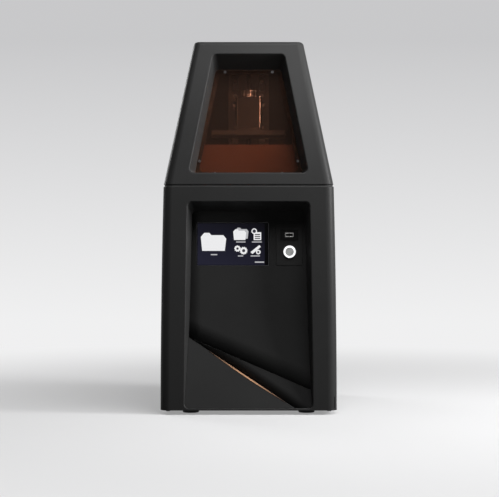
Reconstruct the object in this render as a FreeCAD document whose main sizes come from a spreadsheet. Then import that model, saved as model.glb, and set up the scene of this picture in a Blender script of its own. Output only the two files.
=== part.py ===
import FreeCAD
import Part
import math
import os
import Sketcher
from FreeCAD import Placement, Rotation, Vector

# Desktop resin printer: a casing with a recessed control panel, a hinged hood with a deep window,
# and a platform that a lead screw lifts out of a vat. Millimetres, +Z up, the front faces -Y,
# and the origin is on the floor under the middle of the machine.

SIZES = {
    # Feet and casing
    "foot_height": 7.5,
    "foot_top_radius": 16.0,
    "foot_base_radius": 13.5,
    "foot_inset_x": 50.5,
    "foot_inset_y": 42.0,
    "foot_bore_radius": 5.0,
    "foot_bore_depth": 4.0,
    "foot_hole_radius": 2.0,
    "casing_width": 300.0,
    "casing_depth": 335.0,
    "casing_height": 379.5,
    "casing_belly": 1.22,
    "casing_crown": 4.85,
    "casing_corner": 15.5,
    "casing_wall": 5.0,
    "edge_round": 1.5,
    "boss_side": 16.0,
    "boss_height": 20.0,
    "plate_thick": 3.0,
    "vent_length": 90.0,
    "vent_width": 5.0,
    "vent_pitch": 12.0,
    "fit_gap": 0.3,
    # Recess in the casing's front
    "recess_top_width": 209.0,
    "recess_foot_width": 218.0,
    "recess_height": 355.5,
    "recess_sill": 3.5,
    "recess_corner": 8.0,
    "recess_reach": 45.0,
    "recess_taper": 8.0,
    "recess_brow": 19.0,
    "recess_lead": 3.0,
    "recess_flange": 9.0,
    "recess_round": 2.0,
    # Control panel in the recess, its facets and accent strip
    "panel_depth": 38.0,
    "panel_tilt": 2.5,
    "panel_thick": 3.0,
    "panel_bend_height": 200.0,
    "panel_bend_radius": 1050.0,
    "panel_gap": 0.15,
    "screen_height": 281.5,
    "facet_thick": 2.2,
    "fold_start_x": 103.0,
    "fold_start_height": 122.5,
    "fold_end_x": 83.6,
    "crease_end_x": 130.0,
    "crease_end_height": 22.9,
    "corner_flush": 1.0,
    "accent_start_x": 68.0,
    "accent_end_x": 63.0,
    "accent_bow_radius": 1350.0,
    "accent_proud": 0.4,
    "accent_sink": 1.2,
    # Touch screen, key plate, socket and button
    "screen_width": 123.3,
    "screen_tall": 74.0,
    "screen_offset": 27.4,
    "screen_corner": 1.5,
    "screen_sink": 1.2,
    "glass_thick": 1.6,
    "module_margin": 4.0,
    "module_thick": 7.0,
    "key_width": 46.4,
    "key_tall": 74.5,
    "key_offset": 70.0,
    "key_corner": 3.0,
    "key_groove": 0.7,
    "key_sink": 0.4,
    "key_flange": 3.0,
    "key_flange_thick": 2.0,
    "usb_offset": 69.8,
    "usb_rise": 16.0,
    "usb_width": 31.0,
    "usb_tall": 18.0,
    "usb_lip": 1.2,
    "usb_lip_thick": 0.9,
    "usb_depth": 22.0,
    "usb_slot_width": 13.0,
    "usb_slot_tall": 6.0,
    "usb_slot_depth": 17.0,
    "usb_metal": 0.4,
    "tongue_width": 10.4,
    "tongue_thick": 1.9,
    "tongue_rise": 0.9,
    "button_offset": 70.4,
    "button_drop": 13.0,
    "bezel_radius": 11.0,
    "bezel_thick": 1.9,
    "bezel_barrel_radius": 9.4,
    "bezel_barrel_depth": 24.0,
    "light_radius": 10.2,
    "light_thick": 1.1,
    "light_sink": 0.3,
    "cap_radius": 7.1,
    "cap_proud": 2.3,
    "cap_length": 10.0,
    "cap_travel": 2.0,
    "running_gap": 0.06,
    # Deck, projection glass and vat
    "deck_sink": 2.0,
    "deck_thick": 6.0,
    "ledge_width": 10.0,
    "ledge_thick": 6.0,
    "axis_y": -14.0,
    "light_width": 142.0,
    "light_depth": 88.0,
    "glass_margin": 5.0,
    "pane_thick": 3.0,
    "seat_width": 236.0,
    "seat_depth": 132.0,
    "seat_thick": 8.0,
    "seat_corner": 6.0,
    "frame_thick": 4.0,
    "film_thick": 0.5,
    "vat_width": 186.0,
    "vat_depth": 112.0,
    "vat_height": 32.0,
    "vat_wall": 5.0,
    "vat_draft": 4.0,
    "vat_corner": 12.0,
    "vat_flange": 7.0,
    "vat_flange_thick": 6.0,
    "guard_foot_width": 188.0,
    "guard_top_width": 156.0,
    "guard_height": 79.0,
    "guard_thick": 4.0,
    "stud_offset": 8.5,
    "stud_radius": 3.0,
    "stud_head_radius": 5.5,
    "stud_head_thick": 2.5,
    "clamp_hub_radius": 7.0,
    "clamp_finger_width": 10.0,
    "clamp_finger_thick": 6.0,
    "clamp_overlap": 5.5,
    # Column, rails, screw and motor
    "column_front": 96.0,
    "column_width": 76.0,
    "column_depth": 32.0,
    "column_height": 230.0,
    "slot_width": 26.0,
    "slot_depth": 14.0,
    "rail_offset": 25.0,
    "rail_width": 12.0,
    "rail_height": 8.0,
    "rail_margin": 8.0,
    "truck_width": 25.0,
    "truck_height": 9.5,
    "truck_length": 69.0,
    "truck_gap": 0.35,
    "truck_stand": 12.0,
    "truck_low": 4.0,
    "screw_radius": 5.0,
    "screw_neck_radius": 4.0,
    "coupler_radius": 10.0,
    "coupler_length": 25.0,
    "coupler_lift": 3.0,
    "motor_side": 42.0,
    "motor_height": 48.0,
    "motor_corner": 4.0,
    "pilot_radius": 11.0,
    "pilot_height": 2.0,
    "shaft_radius": 2.5,
    "bearing_radius": 11.0,
    "bearing_height": 7.0,
    "support_thick": 10.0,
    "nut_width": 20.0,
    "nut_height": 22.0,
    "nut_low": 30.0,
    "nut_reach": 8.0,
    "screw_grip": 12.0,
    "column_screw_offset": 28.0,
    "column_screw_depth": 16.0,
    # Carriage, arm and build platform
    "platform_height": 484.0,
    "platform_width": 134.6,
    "platform_depth": 80.0,
    "platform_thick": 8.0,
    "platform_corner": 3.0,
    "boss_width": 40.0,
    "boss_depth": 36.0,
    "boss_rise": 7.0,
    "neck_width": 47.0,
    "neck_depth": 44.0,
    "neck_tall": 55.0,
    "neck_round": 4.0,
    "knob_radius": 14.5,
    "knob_height": 13.0,
    "knob_flute_radius": 1.8,
    "knob_stem_radius": 4.0,
    "knob_stem_length": 12.0,
    "arm_width": 36.0,
    "arm_low": 34.0,
    "arm_tall": 34.0,
    "arm_web": 14.0,
    "arm_cap": 7.0,
    "plate_width": 76.0,
    "plate_tall": 77.0,
    "plate_low": 16.0,
    "carriage_thick": 12.0,
    "side_screw_radius": 6.0,
    "side_screw_head": 5.0,
    "side_screw_rise": 42.0,
    "side_screw_length": 12.0,
    "plate_screw_inset": 9.0,
    # Hood and window
    "hood_gap": 2.5,
    "hood_step": 0.4,
    "hood_height": 251.0,
    "hood_top_width": 189.5,
    "hood_lean": 52.0,
    "hood_wall": 4.5,
    "hood_top_corner": 12.0,
    "hood_round": 7.0,
    "grip_width": 143.0,
    "grip_height": 1.2,
    "window_foot_width": 203.8,
    "window_head_width": 123.8,
    "window_sill": 21.5,
    "window_height": 212.5,
    "window_corner": 8.0,
    "window_depth": 38.0,
    "window_foot_inset": 8.0,
    "window_head_inset": 4.0,
    "window_sill_inset": 4.0,
    "window_brow": 15.5,
    "window_rim": 5.0,
    "window_ledge": 7.0,
    "window_ledge_thick": 3.5,
    "window_pane_thick": 4.0,
    "window_round": 2.0,
    "window_screw_inset": 4.5,
    "window_screw_top": 41.5,
    "window_screw_foot": 58.0,
    "window_screw_low": 52.0,
    # Hinges, seal
    "hinge_reach": 15.0,
    "hinge_offset": 88.0,
    "hinge_width": 60.0,
    "leaf_height": 30.0,
    "leaf_thick": 3.0,
    "barrel_radius": 6.0,
    "pin_radius": 3.0,
    "knuckle_gap": 0.3,
    "seal_inset": 1.8,
    "seal_width": 2.4,
    "seal_height": 2.3,
    # Projector, supplies and rear panel
    "stand_width": 176.0,
    "stand_depth": 120.0,
    "stand_height": 46.0,
    "stand_sheet": 2.5,
    "projector_width": 164.0,
    "projector_depth": 126.0,
    "projector_height": 92.0,
    "projector_corner": 8.0,
    "lens_radius": 28.0,
    "lens_length": 64.0,
    "lens_bore": 21.0,
    "lens_recess": 6.0,
    "focus_ring_radius": 31.5,
    "focus_ring_low": 22.0,
    "focus_ring_length": 14.0,
    "supply_width": 44.0,
    "supply_depth": 170.0,
    "supply_height": 104.0,
    "supply_offset": 0.5,
    "board_width": 40.0,
    "board_depth": 170.0,
    "board_thick": 1.6,
    "board_lift": 8.0,
    "board_offset": 0.5,
    "spacer_radius": 3.0,
    "chip_side": 24.0,
    "chip_height": 9.0,
    "chip_pitch": 50.0,
    "inner_y": 20.0,
    "terminal_height": 12.0,
    "rear_width": 232.0,
    "rear_tall": 286.0,
    "rear_low": 26.0,
    "rear_thick": 2.0,
    "rear_border": 8.0,
    "rear_corner": 6.0,
    "fan_offset": 55.0,
    "fan_height": 230.0,
    "fan_side": 80.0,
    "fan_thick": 25.0,
    "fan_bore_radius": 37.5,
    "fan_hub_radius": 16.0,
    "fan_blade_radius": 36.0,
    "fan_blade_thick": 1.6,
    "fan_blade_depth": 14.0,
    "fan_blade_pitch": 40.0,
    "fan_wall": 2.5,
    "fan_hub_depth": 17.0,
    "fan_strut": 5.0,
    "fan_bite": 2.0,
    "vent_offset": 55.0,
    "slot_tall": 4.0,
    "slot_pitch": 8.0,
    "slot_long": 70.0,
    "inlet_offset": 70.0,
    "inlet_height": 66.0,
    "inlet_width": 52.0,
    "inlet_tall": 30.0,
    "inlet_flange": 3.0,
    "inlet_flange_thick": 2.5,
    "inlet_depth": 26.0,
    "inlet_well_width": 24.4,
    "inlet_well_tall": 17.0,
    "inlet_well_depth": 17.0,
    "inlet_well_shift": 9.5,
    "inlet_pin_width": 2.0,
    "inlet_pin_tall": 4.0,
    "inlet_pin_pitch": 7.0,
    "inlet_pin_length": 12.0,
    "rocker_shift": 16.5,
    "rocker_width": 11.0,
    "rocker_tall": 18.0,
    "rocker_depth": 6.0,
    "rocker_proud": 3.0,
    "rocker_tilt": 8.0,
    "rocker_room": 1.0,
    "rocker_gap": 0.4,
    "rocker_pin_radius": 1.0,
    "rocker_pin_reach": 1.5,
    # Screws
    "screw_head_radius": 3.5,
    "screw_head_height": 2.2,
    "screw_shank_radius": 1.5,
    "screw_hole_radius": 1.7,
    "screw_length": 10.0,
    "socket_radius": 1.6,
    "socket_depth": 1.2,
    "small_head_radius": 2.4,
    "small_head_height": 1.5,
}


# Sizes that keep their expression while they are added and multiplied
def text_of(size):
    return size.text if isinstance(size, Size) else repr(float(size))


def value_of(size):
    return size.value if isinstance(size, Size) else float(size)


class Size:
    """A length, angle or ratio: the text of its expression and its value today."""

    def __init__(self, text, value):
        self.text = text
        self.value = value

    def __add__(self, other):
        return Size(f"({self.text} + {text_of(other)})", self.value + value_of(other))

    def __radd__(self, other):
        return self + other

    def __sub__(self, other):
        return Size(f"({self.text} - {text_of(other)})", self.value - value_of(other))

    def __rsub__(self, other):
        return Size(f"({text_of(other)} - {self.text})", value_of(other) - self.value)

    def __mul__(self, other):
        return Size(f"({self.text} * {text_of(other)})", self.value * value_of(other))

    def __rmul__(self, other):
        return self * other

    def __truediv__(self, other):
        return Size(f"({self.text} / {text_of(other)})", self.value / value_of(other))

    def __rtruediv__(self, other):
        return Size(f"({text_of(other)} / {self.text})", value_of(other) / self.value)

    def __neg__(self):
        return Size(f"(-1 * {self.text})", -self.value)


def sine(angle):
    return Size(f"sin({angle.text})", math.sin(math.radians(angle.value)))


def cosine(angle):
    return Size(f"cos({angle.text})", math.cos(math.radians(angle.value)))


def tangent(angle):
    return Size(f"tan({angle.text})", math.tan(math.radians(angle.value)))


def slope_angle(rise, run):
    ratio = rise / run
    return Size(f"atan({ratio.text})", math.degrees(math.atan(ratio.value)))


def root(size):
    return Size(f"sqrt({size.text})", math.sqrt(size.value))


# The document and its sheet of driving sizes
doc = FreeCAD.newDocument("resin_printer")
sheet = doc.addObject("Spreadsheet::Sheet", "sizes")


class Sizes:
    """The sheet's sizes by name."""


s = Sizes()
for row, (name, number) in enumerate(SIZES.items(), start=1):
    sheet.set(f"A{row}", name)
    sheet.set(f"B{row}", str(number))
    sheet.setAlias(f"B{row}", name)
    setattr(s, name, Size(f"sizes.{name}", number))
doc.recompute()

nodes = {}


def keep(label, thing):
    """Name a finished piece: its label is the name of its file."""
    thing.Label = label
    nodes[label] = thing
    return thing


# Solids of the Part kind, each tied to the sheet
TURNS = {
    "x": Rotation(Vector(0, 1, 0), 90),
    "y": Rotation(Vector(1, 0, 0), -90),
    "z": Rotation(),
}


def put(thing, x, y, z):
    for axis, size in zip("xyz", (x, y, z)):
        thing.setExpression(f"Placement.Base.{axis}", text_of(size))
    return thing


def block(x_span, y_span, z_span):
    """A box from its low and high side along each axis."""
    solid = doc.addObject("Part::Box", "block")
    for side, span in zip(("Length", "Width", "Height"), (x_span, y_span, z_span)):
        solid.setExpression(side, text_of(span[1] - span[0]))
    return put(solid, x_span[0], y_span[0], z_span[0])


def rod(axis, radius, x, y, z, length):
    """A cylinder that starts at a point and runs along an axis."""
    solid = doc.addObject("Part::Cylinder", "rod")
    solid.Placement = Placement(Vector(), TURNS[axis])
    solid.setExpression("Radius", text_of(radius))
    solid.setExpression("Height", text_of(length))
    return put(solid, x, y, z)


def cone(base_radius, top_radius, x, y, z, length):
    solid = doc.addObject("Part::Cone", "cone")
    solid.setExpression("Radius1", text_of(base_radius))
    solid.setExpression("Radius2", text_of(top_radius))
    solid.setExpression("Height", text_of(length))
    return put(solid, x, y, z)


def fuse(*solids):
    if len(solids) == 1:
        return solids[0]
    whole = doc.addObject("Part::MultiFuse", "fuse")
    whole.Shapes = list(solids)
    whole.Refine = True
    return whole


def cut(base, *tools):
    rest = doc.addObject("Part::Cut", "cut")
    rest.Base = base
    rest.Tool = fuse(*tools)
    rest.Refine = True
    return rest


def common(*solids):
    shared = doc.addObject("Part::MultiCommon", "common")
    shared.Shapes = list(solids)
    return shared


def group(*solids):
    several = doc.addObject("Part::Compound", "group")
    several.Links = list(solids)
    return several


def lean(thing, frame):
    """Stand a piece made about the origin in a leaning frame: its foot's y and z, and its angle."""
    foot_y, foot_z, angle = frame
    thing.Placement = Placement(Vector(), Rotation(Vector(-1, 0, 0), angle.value))
    thing.setExpression("Placement.Rotation.Angle", text_of(angle))
    return put(thing, 0, foot_y, foot_z)


# Sketches: closed outlines whose corners are tied to the sheet
PLANES = {
    "XY_Plane": Rotation(),
    "XZ_Plane": Rotation(Vector(1, 0, 0), 90),
    "YZ_Plane": Rotation(Vector(1, 1, 1), 120),
}


def sketch_on(body, plane_role, shift=(0, 0, 0), turn=None):
    """A sketch in a body, on an origin plane moved along its own axes and leaned about its x axis."""
    sketch = body.newObject("Sketcher::SketchObject", "sketch")
    planes = [feature for feature in body.Origin.OriginFeatures if feature.Role == plane_role]
    sketch.AttachmentSupport = (planes[0], [""])
    sketch.MapMode = "FlatFace"
    if turn is not None:
        sketch.AttachmentOffset = Placement(Vector(), Rotation(Vector(-1, 0, 0), turn.value))
        sketch.setExpression("AttachmentOffset.Rotation.Angle", text_of(turn))
    for axis, size in zip("xyz", shift):
        sketch.setExpression(f"AttachmentOffset.Base.{axis}", text_of(size))
    return sketch


def loose_sketch(plane_role, x=0, y=0, z=0):
    """A sketch outside any body, parallel to an origin plane."""
    sketch = doc.addObject("Sketcher::SketchObject", "sketch")
    sketch.Placement = Placement(Vector(), PLANES[plane_role])
    return put(sketch, x, y, z)


def tie_last(sketch, size):
    sketch.setExpression(f"Constraints[{sketch.ConstraintCount - 1}]", text_of(size))


def pin_corner(sketch, edge, end, corner):
    """Tie one end of an edge to a corner's place in the sketch."""
    for kind, size in zip(("DistanceX", "DistanceY"), corner):
        sketch.addConstraint(Sketcher.Constraint(kind, -1, 1, edge, end, value_of(size)))
        tie_last(sketch, size)


def arc_between(start, end, radius):
    """The short arc between two points: its centre is on the left for a positive radius."""
    half = (end - start) * 0.5
    left = Vector(-half.y, half.x, 0).normalize()
    reach = math.sqrt(radius * radius - half.Length * half.Length)
    centre = start + half + left * math.copysign(reach, radius)
    first = start if radius > 0 else end
    last = end if radius > 0 else start
    angles = [math.atan2(point.y - centre.y, point.x - centre.x) for point in (first, last)]
    circle = Part.Circle(centre, Vector(0, 0, 1), abs(radius))
    return Part.ArcOfCircle(circle, angles[0], angles[1])


def draw(sketch, corners, bows=None):
    """A closed outline with sharp corners; bows gives the radius of each edge that is an arc."""
    bows = bows or {}
    base = sketch.GeometryCount
    points = [Vector(value_of(across), value_of(up), 0) for across, up in corners]
    ends = []
    for index, start in enumerate(points):
        finish = points[(index + 1) % len(points)]
        if index not in bows:
            sketch.addGeometry(Part.LineSegment(start, finish), False)
            ends.append((1, 2))
            continue
        radius = bows[index]
        sketch.addGeometry(arc_between(start, finish, radius.value), False)
        ends.append((1, 2) if radius.value > 0 else (2, 1))
    for index, corner in enumerate(corners):
        before = index - 1 if index else len(corners) - 1
        pair = (base + before, ends[before][1], base + index, ends[index][0])
        sketch.addConstraint(Sketcher.Constraint("Coincident", *pair))
        pin_corner(sketch, base + index, ends[index][0], corner)
    for index, radius in bows.items():
        size = radius if radius.value > 0 else -radius
        sketch.addConstraint(Sketcher.Constraint("Radius", base + index, size.value))
        tie_last(sketch, size)
    return sketch


def draw_rounded(sketch, corners, radius):
    """A closed convex outline, corners given counter-clockwise, with every corner rounded."""
    count = len(corners)
    points = [Vector(value_of(across), value_of(up), 0) for across, up in corners]
    for index in range(count):
        sketch.addGeometry(Part.LineSegment(points[index], points[(index + 1) % count]), True)
    for index in range(count):
        before = index - 1 if index else count - 1
        sketch.addConstraint(Sketcher.Constraint("Coincident", before, 2, index, 1))
        pin_corner(sketch, index, 1, corners[index])
    arcs = []
    for index, corner in enumerate(points):
        to_before = (points[index - 1] - corner).normalize()
        to_after = (points[(index + 1) % count] - corner).normalize()
        half_angle = to_before.getAngle(to_after) / 2
        setback = radius.value / math.tan(half_angle)
        centre = corner + (to_before + to_after).normalize() * (radius.value / math.sin(half_angle))
        first = corner + to_before * setback
        last = corner + to_after * setback
        angles = [math.atan2(point.y - centre.y, point.x - centre.x) for point in (first, last)]
        circle = Part.Circle(centre, Vector(0, 0, 1), radius.value)
        arcs.append((first, last, Part.ArcOfCircle(circle, angles[0], angles[1])))
    for index in range(count):
        run_end = arcs[(index + 1) % count][0]
        sketch.addGeometry(Part.LineSegment(arcs[index][1], run_end), False)
    for _, _, arc in arcs:
        sketch.addGeometry(arc, False)
    for index in range(count):
        line = count + index
        arc = 2 * count + index
        line_before = count + (index - 1 if index else count - 1)
        sketch.addConstraint(Sketcher.Constraint("PointOnObject", line, 1, index))
        sketch.addConstraint(Sketcher.Constraint("PointOnObject", line, 2, index))
        sketch.addConstraint(Sketcher.Constraint("Tangent", line_before, 2, arc, 1))
        sketch.addConstraint(Sketcher.Constraint("Tangent", arc, 2, line, 1))
        sketch.addConstraint(Sketcher.Constraint("Radius", arc, radius.value))
        tie_last(sketch, radius)
    return sketch


def draw_circles(sketch, places, radius):
    for across, up in places:
        index = sketch.GeometryCount
        centre = Vector(value_of(across), value_of(up), 0)
        sketch.addGeometry(Part.Circle(centre, Vector(0, 0, 1), radius.value), False)
        pin_corner(sketch, index, 3, (across, up))
        sketch.addConstraint(Sketcher.Constraint("Radius", index, radius.value))
        tie_last(sketch, radius)
    return sketch


def oblong(half_width, low, high):
    """Corners of a rectangle that is centred on the machine's middle plane."""
    return [(-half_width, low), (half_width, low), (half_width, high), (-half_width, high)]


def oblong_at(across, width, up, tall):
    return [
        (across - width / 2, up - tall / 2),
        (across + width / 2, up - tall / 2),
        (across + width / 2, up + tall / 2),
        (across - width / 2, up + tall / 2),
    ]


def trapezoid(foot_half, head_half, low, high):
    return [(-foot_half, low), (foot_half, low), (head_half, high), (-head_half, high)]


# Features of the PartDesign kind
def shell_on(label, sketches, ruled=True):
    """A body that starts from a loft through loose sketches."""
    body = keep(label, doc.addObject("PartDesign::Body", label))
    whole = doc.addObject("Part::Loft", "loft")
    whole.Sections = sketches
    whole.Solid = True
    whole.Ruled = ruled
    doc.recompute()
    body.BaseFeature = whole
    doc.recompute()
    return body


def loft(body, kind, sketches, ruled=True):
    feature = body.newObject(f"PartDesign::{kind}Loft", "loft")
    feature.Profile = sketches[0]
    feature.Sections = sketches[1:]
    feature.Ruled = ruled
    doc.recompute()
    return feature


def pad(body, sketch, length, symmetric=False, backwards=False):
    feature = body.newObject("PartDesign::Pad", "pad")
    feature.Profile = sketch
    feature.SideType = "Symmetric" if symmetric else "One side"
    feature.Reversed = backwards
    feature.setExpression("Length", text_of(length))
    doc.recompute()
    return feature


def pocket(body, sketch, length, symmetric=False, backwards=False):
    before = body.Shape.Volume
    feature = body.newObject("PartDesign::Pocket", "pocket")
    feature.Profile = sketch
    feature.SideType = "Symmetric" if symmetric else "One side"
    feature.Reversed = backwards
    feature.setExpression("Length", text_of(length))
    doc.recompute()
    if body.Shape.Volume >= before:
        raise RuntimeError(f"{body.Label}: a pocket removed nothing")
    return feature


def round_edges(body, radius, wanted):
    """Fillet the edges of a body's last feature that the test wants."""
    doc.recompute()
    tip = body.Tip
    names = [f"Edge{n}" for n, edge in enumerate(tip.Shape.Edges, start=1) if wanted(edge)]
    feature = body.newObject("PartDesign::Fillet", "fillet")
    feature.Base = (tip, names)
    feature.setExpression("Radius", text_of(radius))
    doc.recompute()
    return feature


def add_solid(body, kind, spans=None, radius=None, at=None, length=None):
    """A PartDesign box from its spans, or an upright cylinder from its radius, foot and length."""
    feature = body.newObject(f"PartDesign::{kind}", "primitive")
    if spans is None:
        feature.setExpression("Radius", text_of(radius))
        feature.setExpression("Height", text_of(length))
        put(feature, *at)
    else:
        for side, span in zip(("Length", "Width", "Height"), spans):
            feature.setExpression(side, text_of(span[1] - span[0]))
        put(feature, spans[0][0], spans[1][0], spans[2][0])
    doc.recompute()
    return feature


def prism(sketch, length, symmetric=True):
    """A sketch outside any body, drawn out along its normal."""
    solid = doc.addObject("Part::Extrusion", "prism")
    solid.Base = sketch
    solid.DirMode = "Normal"
    solid.Solid = True
    solid.Symmetric = symmetric
    solid.setExpression("LengthFwd", text_of(length))
    return solid


def screw(axis, head_way, x, y, z, length,
          head_radius=s.screw_head_radius, head_height=s.screw_head_height):
    """A socket-head screw: its head stands on the point, its shank runs the other way."""
    way = 1 if head_way > 0 else -1
    steps = {"x": (1, 0, 0), "y": (0, 1, 0), "z": (0, 0, 1)}[axis]

    def along(distance):
        return [place + step * distance for place, step in zip((x, y, z), steps)]

    head_foot = 0 if way > 0 else -head_height
    shank_foot = -length if way > 0 else 0
    socket_foot = head_height - s.socket_depth if way > 0 else -head_height
    head = rod(axis, head_radius, *along(head_foot), head_height)
    shank = rod(axis, s.screw_shank_radius, *along(shank_foot), length)
    socket = rod(axis, s.socket_radius, *along(socket_foot), s.socket_depth)
    return cut(fuse(head, shank), socket)


SIDES = (-1, 1)
ZERO = Size("0", 0.0)

# Levels and faces that several pieces share
floor_z = s.foot_height
seam_z = floor_z + s.casing_height
front_y = -(s.casing_depth + s.hinge_reach) / 2
back_y = front_y + s.casing_depth
deck_top = seam_z - s.deck_sink
deck_low = deck_top - s.deck_thick
ledge_low = deck_low - s.ledge_thick
plate_top = floor_z + s.plate_thick
bottom_half = s.casing_width / 2
top_half = bottom_half - s.casing_crown


# Casing shell: crowned outer walls, a ledge for the deck and a drafted recess in the front
def casing_outline(sketch, inset, wall=0):
    corners = oblong(bottom_half - inset - wall, front_y + inset + wall, back_y - wall)
    return draw_rounded(sketch, corners, s.casing_corner - wall)


panel_y = front_y + s.panel_depth
panel_z = floor_z + s.screen_height
bend_z = floor_z + s.panel_bend_height
bend_y = panel_y - (panel_z - bend_z) * tangent(s.panel_tilt)
bend_centre_y = bend_y - s.panel_bend_radius * cosine(s.panel_tilt)
bend_centre_z = bend_z + s.panel_bend_radius * sine(s.panel_tilt)
recess_top = floor_z + s.recess_height
panel_top = recess_top + s.recess_flange
panel_width = s.recess_foot_width + s.recess_flange * 2


def panel_foot(z, behind):
    """A point on the curved lower part of the panel, some way behind its front."""
    radius = s.panel_bend_radius + behind
    drop = bend_centre_z - z
    return (bend_centre_y + root(radius * radius - drop * drop), z)


def panel_bend(behind):
    """Where the panel's straight upper part meets its curved lower part."""
    radius = s.panel_bend_radius + behind
    return (bend_centre_y + radius * cosine(s.panel_tilt), bend_centre_z - radius * sine(s.panel_tilt))


def panel_head(z, behind):
    """A point on the straight upper part of the panel."""
    return (bend_y + (z - bend_z) * tangent(s.panel_tilt) + behind / cosine(s.panel_tilt), z)


def recess_section(sketch, depth, spare=0):
    """The recess's outline at a depth behind the casing's front plane."""
    narrowing = s.recess_taper / s.recess_reach * depth + spare
    foot_half = s.recess_foot_width / 2 - narrowing
    head_half = s.recess_top_width / 2 - narrowing
    high = recess_top - s.recess_brow / s.recess_reach * depth - spare
    return draw_rounded(sketch, trapezoid(foot_half, head_half, floor_z + s.recess_sill + spare, high),
                        s.recess_corner)


casing_levels = [(floor_z, 0), (floor_z + s.casing_height / 2, s.casing_belly), (seam_z, s.casing_crown)]
casing_outlines = [casing_outline(loose_sketch("XY_Plane", z=z), inset) for z, inset in casing_levels]
casing = shell_on("casing_shell", casing_outlines, ruled=False)
round_edges(casing, s.edge_round, lambda edge: edge.BoundBox.ZMin > seam_z.value - 0.01)
loft(casing, "Subtractive", [
    casing_outline(sketch_on(casing, "XY_Plane", (0, 0, floor_z)), 0, s.casing_wall),
    casing_outline(sketch_on(casing, "XY_Plane", (0, 0, ledge_low)), s.casing_crown, s.casing_wall),
])
ledge_half = top_half - s.casing_wall - s.ledge_width
ledge_front = front_y + s.casing_crown + s.casing_wall + s.ledge_width
ledge_back = back_y - s.casing_wall - s.ledge_width
ledge_sketch = sketch_on(casing, "XY_Plane", (0, 0, seam_z))
draw(ledge_sketch, oblong(ledge_half, ledge_front, ledge_back))
pocket(casing, ledge_sketch, seam_z - ledge_low + s.ledge_thick)
deck_sketch = casing_outline(sketch_on(casing, "XY_Plane", (0, 0, seam_z)), s.casing_crown, s.casing_wall)
pocket(casing, deck_sketch, s.deck_sink + s.deck_thick)

surround = sketch_on(casing, "YZ_Plane")
draw(surround, [
    (front_y + s.casing_wall / 2, floor_z),
    panel_foot(floor_z, -s.panel_gap),
    panel_bend(-s.panel_gap),
    panel_head(panel_top, -s.panel_gap),
    (front_y + s.casing_crown + s.casing_wall / 2, panel_top),
], {1: s.panel_bend_radius - s.panel_gap})
pad(casing, surround, panel_width, symmetric=True)
loft(casing, "Subtractive", [
    recess_section(sketch_on(casing, "XZ_Plane", (0, 0, s.recess_lead - front_y)), -s.recess_lead),
    recess_section(sketch_on(casing, "XZ_Plane", (0, 0, -front_y - s.recess_reach)), s.recess_reach),
])


def recess_mouth(edge):
    """Whether an edge is part of the recess's mouth in the casing's front, its foot left out."""
    box = edge.optimalBoundingBox(False)
    mouth_half = (s.recess_foot_width / 2 + s.recess_lead).value
    if box.YMax > (front_y + s.casing_crown + s.edge_round).value:
        return False
    if max(-box.XMin, box.XMax) > mouth_half:
        return False
    return box.ZMin > (floor_z + s.edge_round).value and box.ZMax < (recess_top + s.edge_round).value


round_edges(casing, s.recess_round, recess_mouth)

rear_z = floor_z + s.rear_low + s.rear_tall / 2
for width_less, depth in ((s.rear_border * 2, s.casing_wall * 2), (0, s.rear_thick)):
    opening = sketch_on(casing, "XZ_Plane", (0, 0, -back_y))
    corners = oblong_at(ZERO, s.rear_width - width_less, rear_z, s.rear_tall - width_less)
    draw_rounded(opening, corners, s.rear_corner)
    pocket(casing, opening, depth, backwards=True)

boss_x = bottom_half - s.casing_wall - s.boss_side / 2
boss_low = plate_top + s.fit_gap
boss_places = []
for side in SIDES:
    for boss_y in (front_y + s.casing_wall + s.boss_side / 2, back_y - s.casing_wall - s.boss_side / 2):
        boss_places.append((boss_x * side, boss_y))
for x, y in boss_places:
    reach = s.boss_side / 2 + s.casing_wall / 4
    add_solid(casing, "AdditiveBox", spans=[
        (x - reach, x + reach),
        (y - reach, y + reach),
        (boss_low, boss_low + s.boss_height),
    ])
    add_solid(casing, "SubtractiveCylinder", radius=s.screw_hole_radius,
              at=(x, y, floor_z), length=s.plate_thick + s.screw_length + s.fit_gap)
deck_screw_x = top_half - s.casing_wall - s.ledge_width / 2
deck_screw_rows = (
    front_y + s.casing_crown + s.casing_wall + s.casing_corner,
    (front_y + back_y) / 2,
    back_y - s.casing_wall - s.casing_corner,
)
deck_screw_places = [(deck_screw_x * side, y) for side in SIDES for y in deck_screw_rows]
for x, y in deck_screw_places:
    add_solid(casing, "SubtractiveCylinder", radius=s.screw_hole_radius,
              at=(x, y, ledge_low), length=s.ledge_thick)


# Hood shell: a cut-off pyramid, open below, with a drafted tunnel to the window
hood_low = seam_z + s.hood_gap
hood_top = hood_low + s.hood_height
hood_front = front_y + s.casing_crown + s.hood_step
hood_half = top_half - s.hood_step
hood_angle = slope_angle(s.hood_lean, s.hood_height)
window_frame = (hood_front, hood_low, hood_angle)


def hood_outline(sketch, half, front, corner, wall=0):
    return draw_rounded(sketch, oblong(half - wall, front + wall, back_y - wall), corner - wall)


def window_sketch(body, depth):
    """A sketch parallel to the hood's sloping front, some way behind it."""
    shift = (0, hood_low - depth * sine(hood_angle), -hood_front - depth * cosine(hood_angle))
    return sketch_on(body, "XZ_Plane", shift, hood_angle)


def window_corners(depth, spare=0):
    """The window tunnel's corners at a depth behind the hood's front; spare draws them in."""
    share = depth / s.window_depth
    low = s.window_sill + s.window_sill_inset * share + spare
    high = s.window_sill + s.window_height - s.window_brow * share - spare
    foot_half = s.window_foot_width / 2 - s.window_foot_inset * share - spare
    head_half = s.window_head_width / 2 - s.window_head_inset * share - spare
    return trapezoid(foot_half, head_half, low, high)


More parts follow.
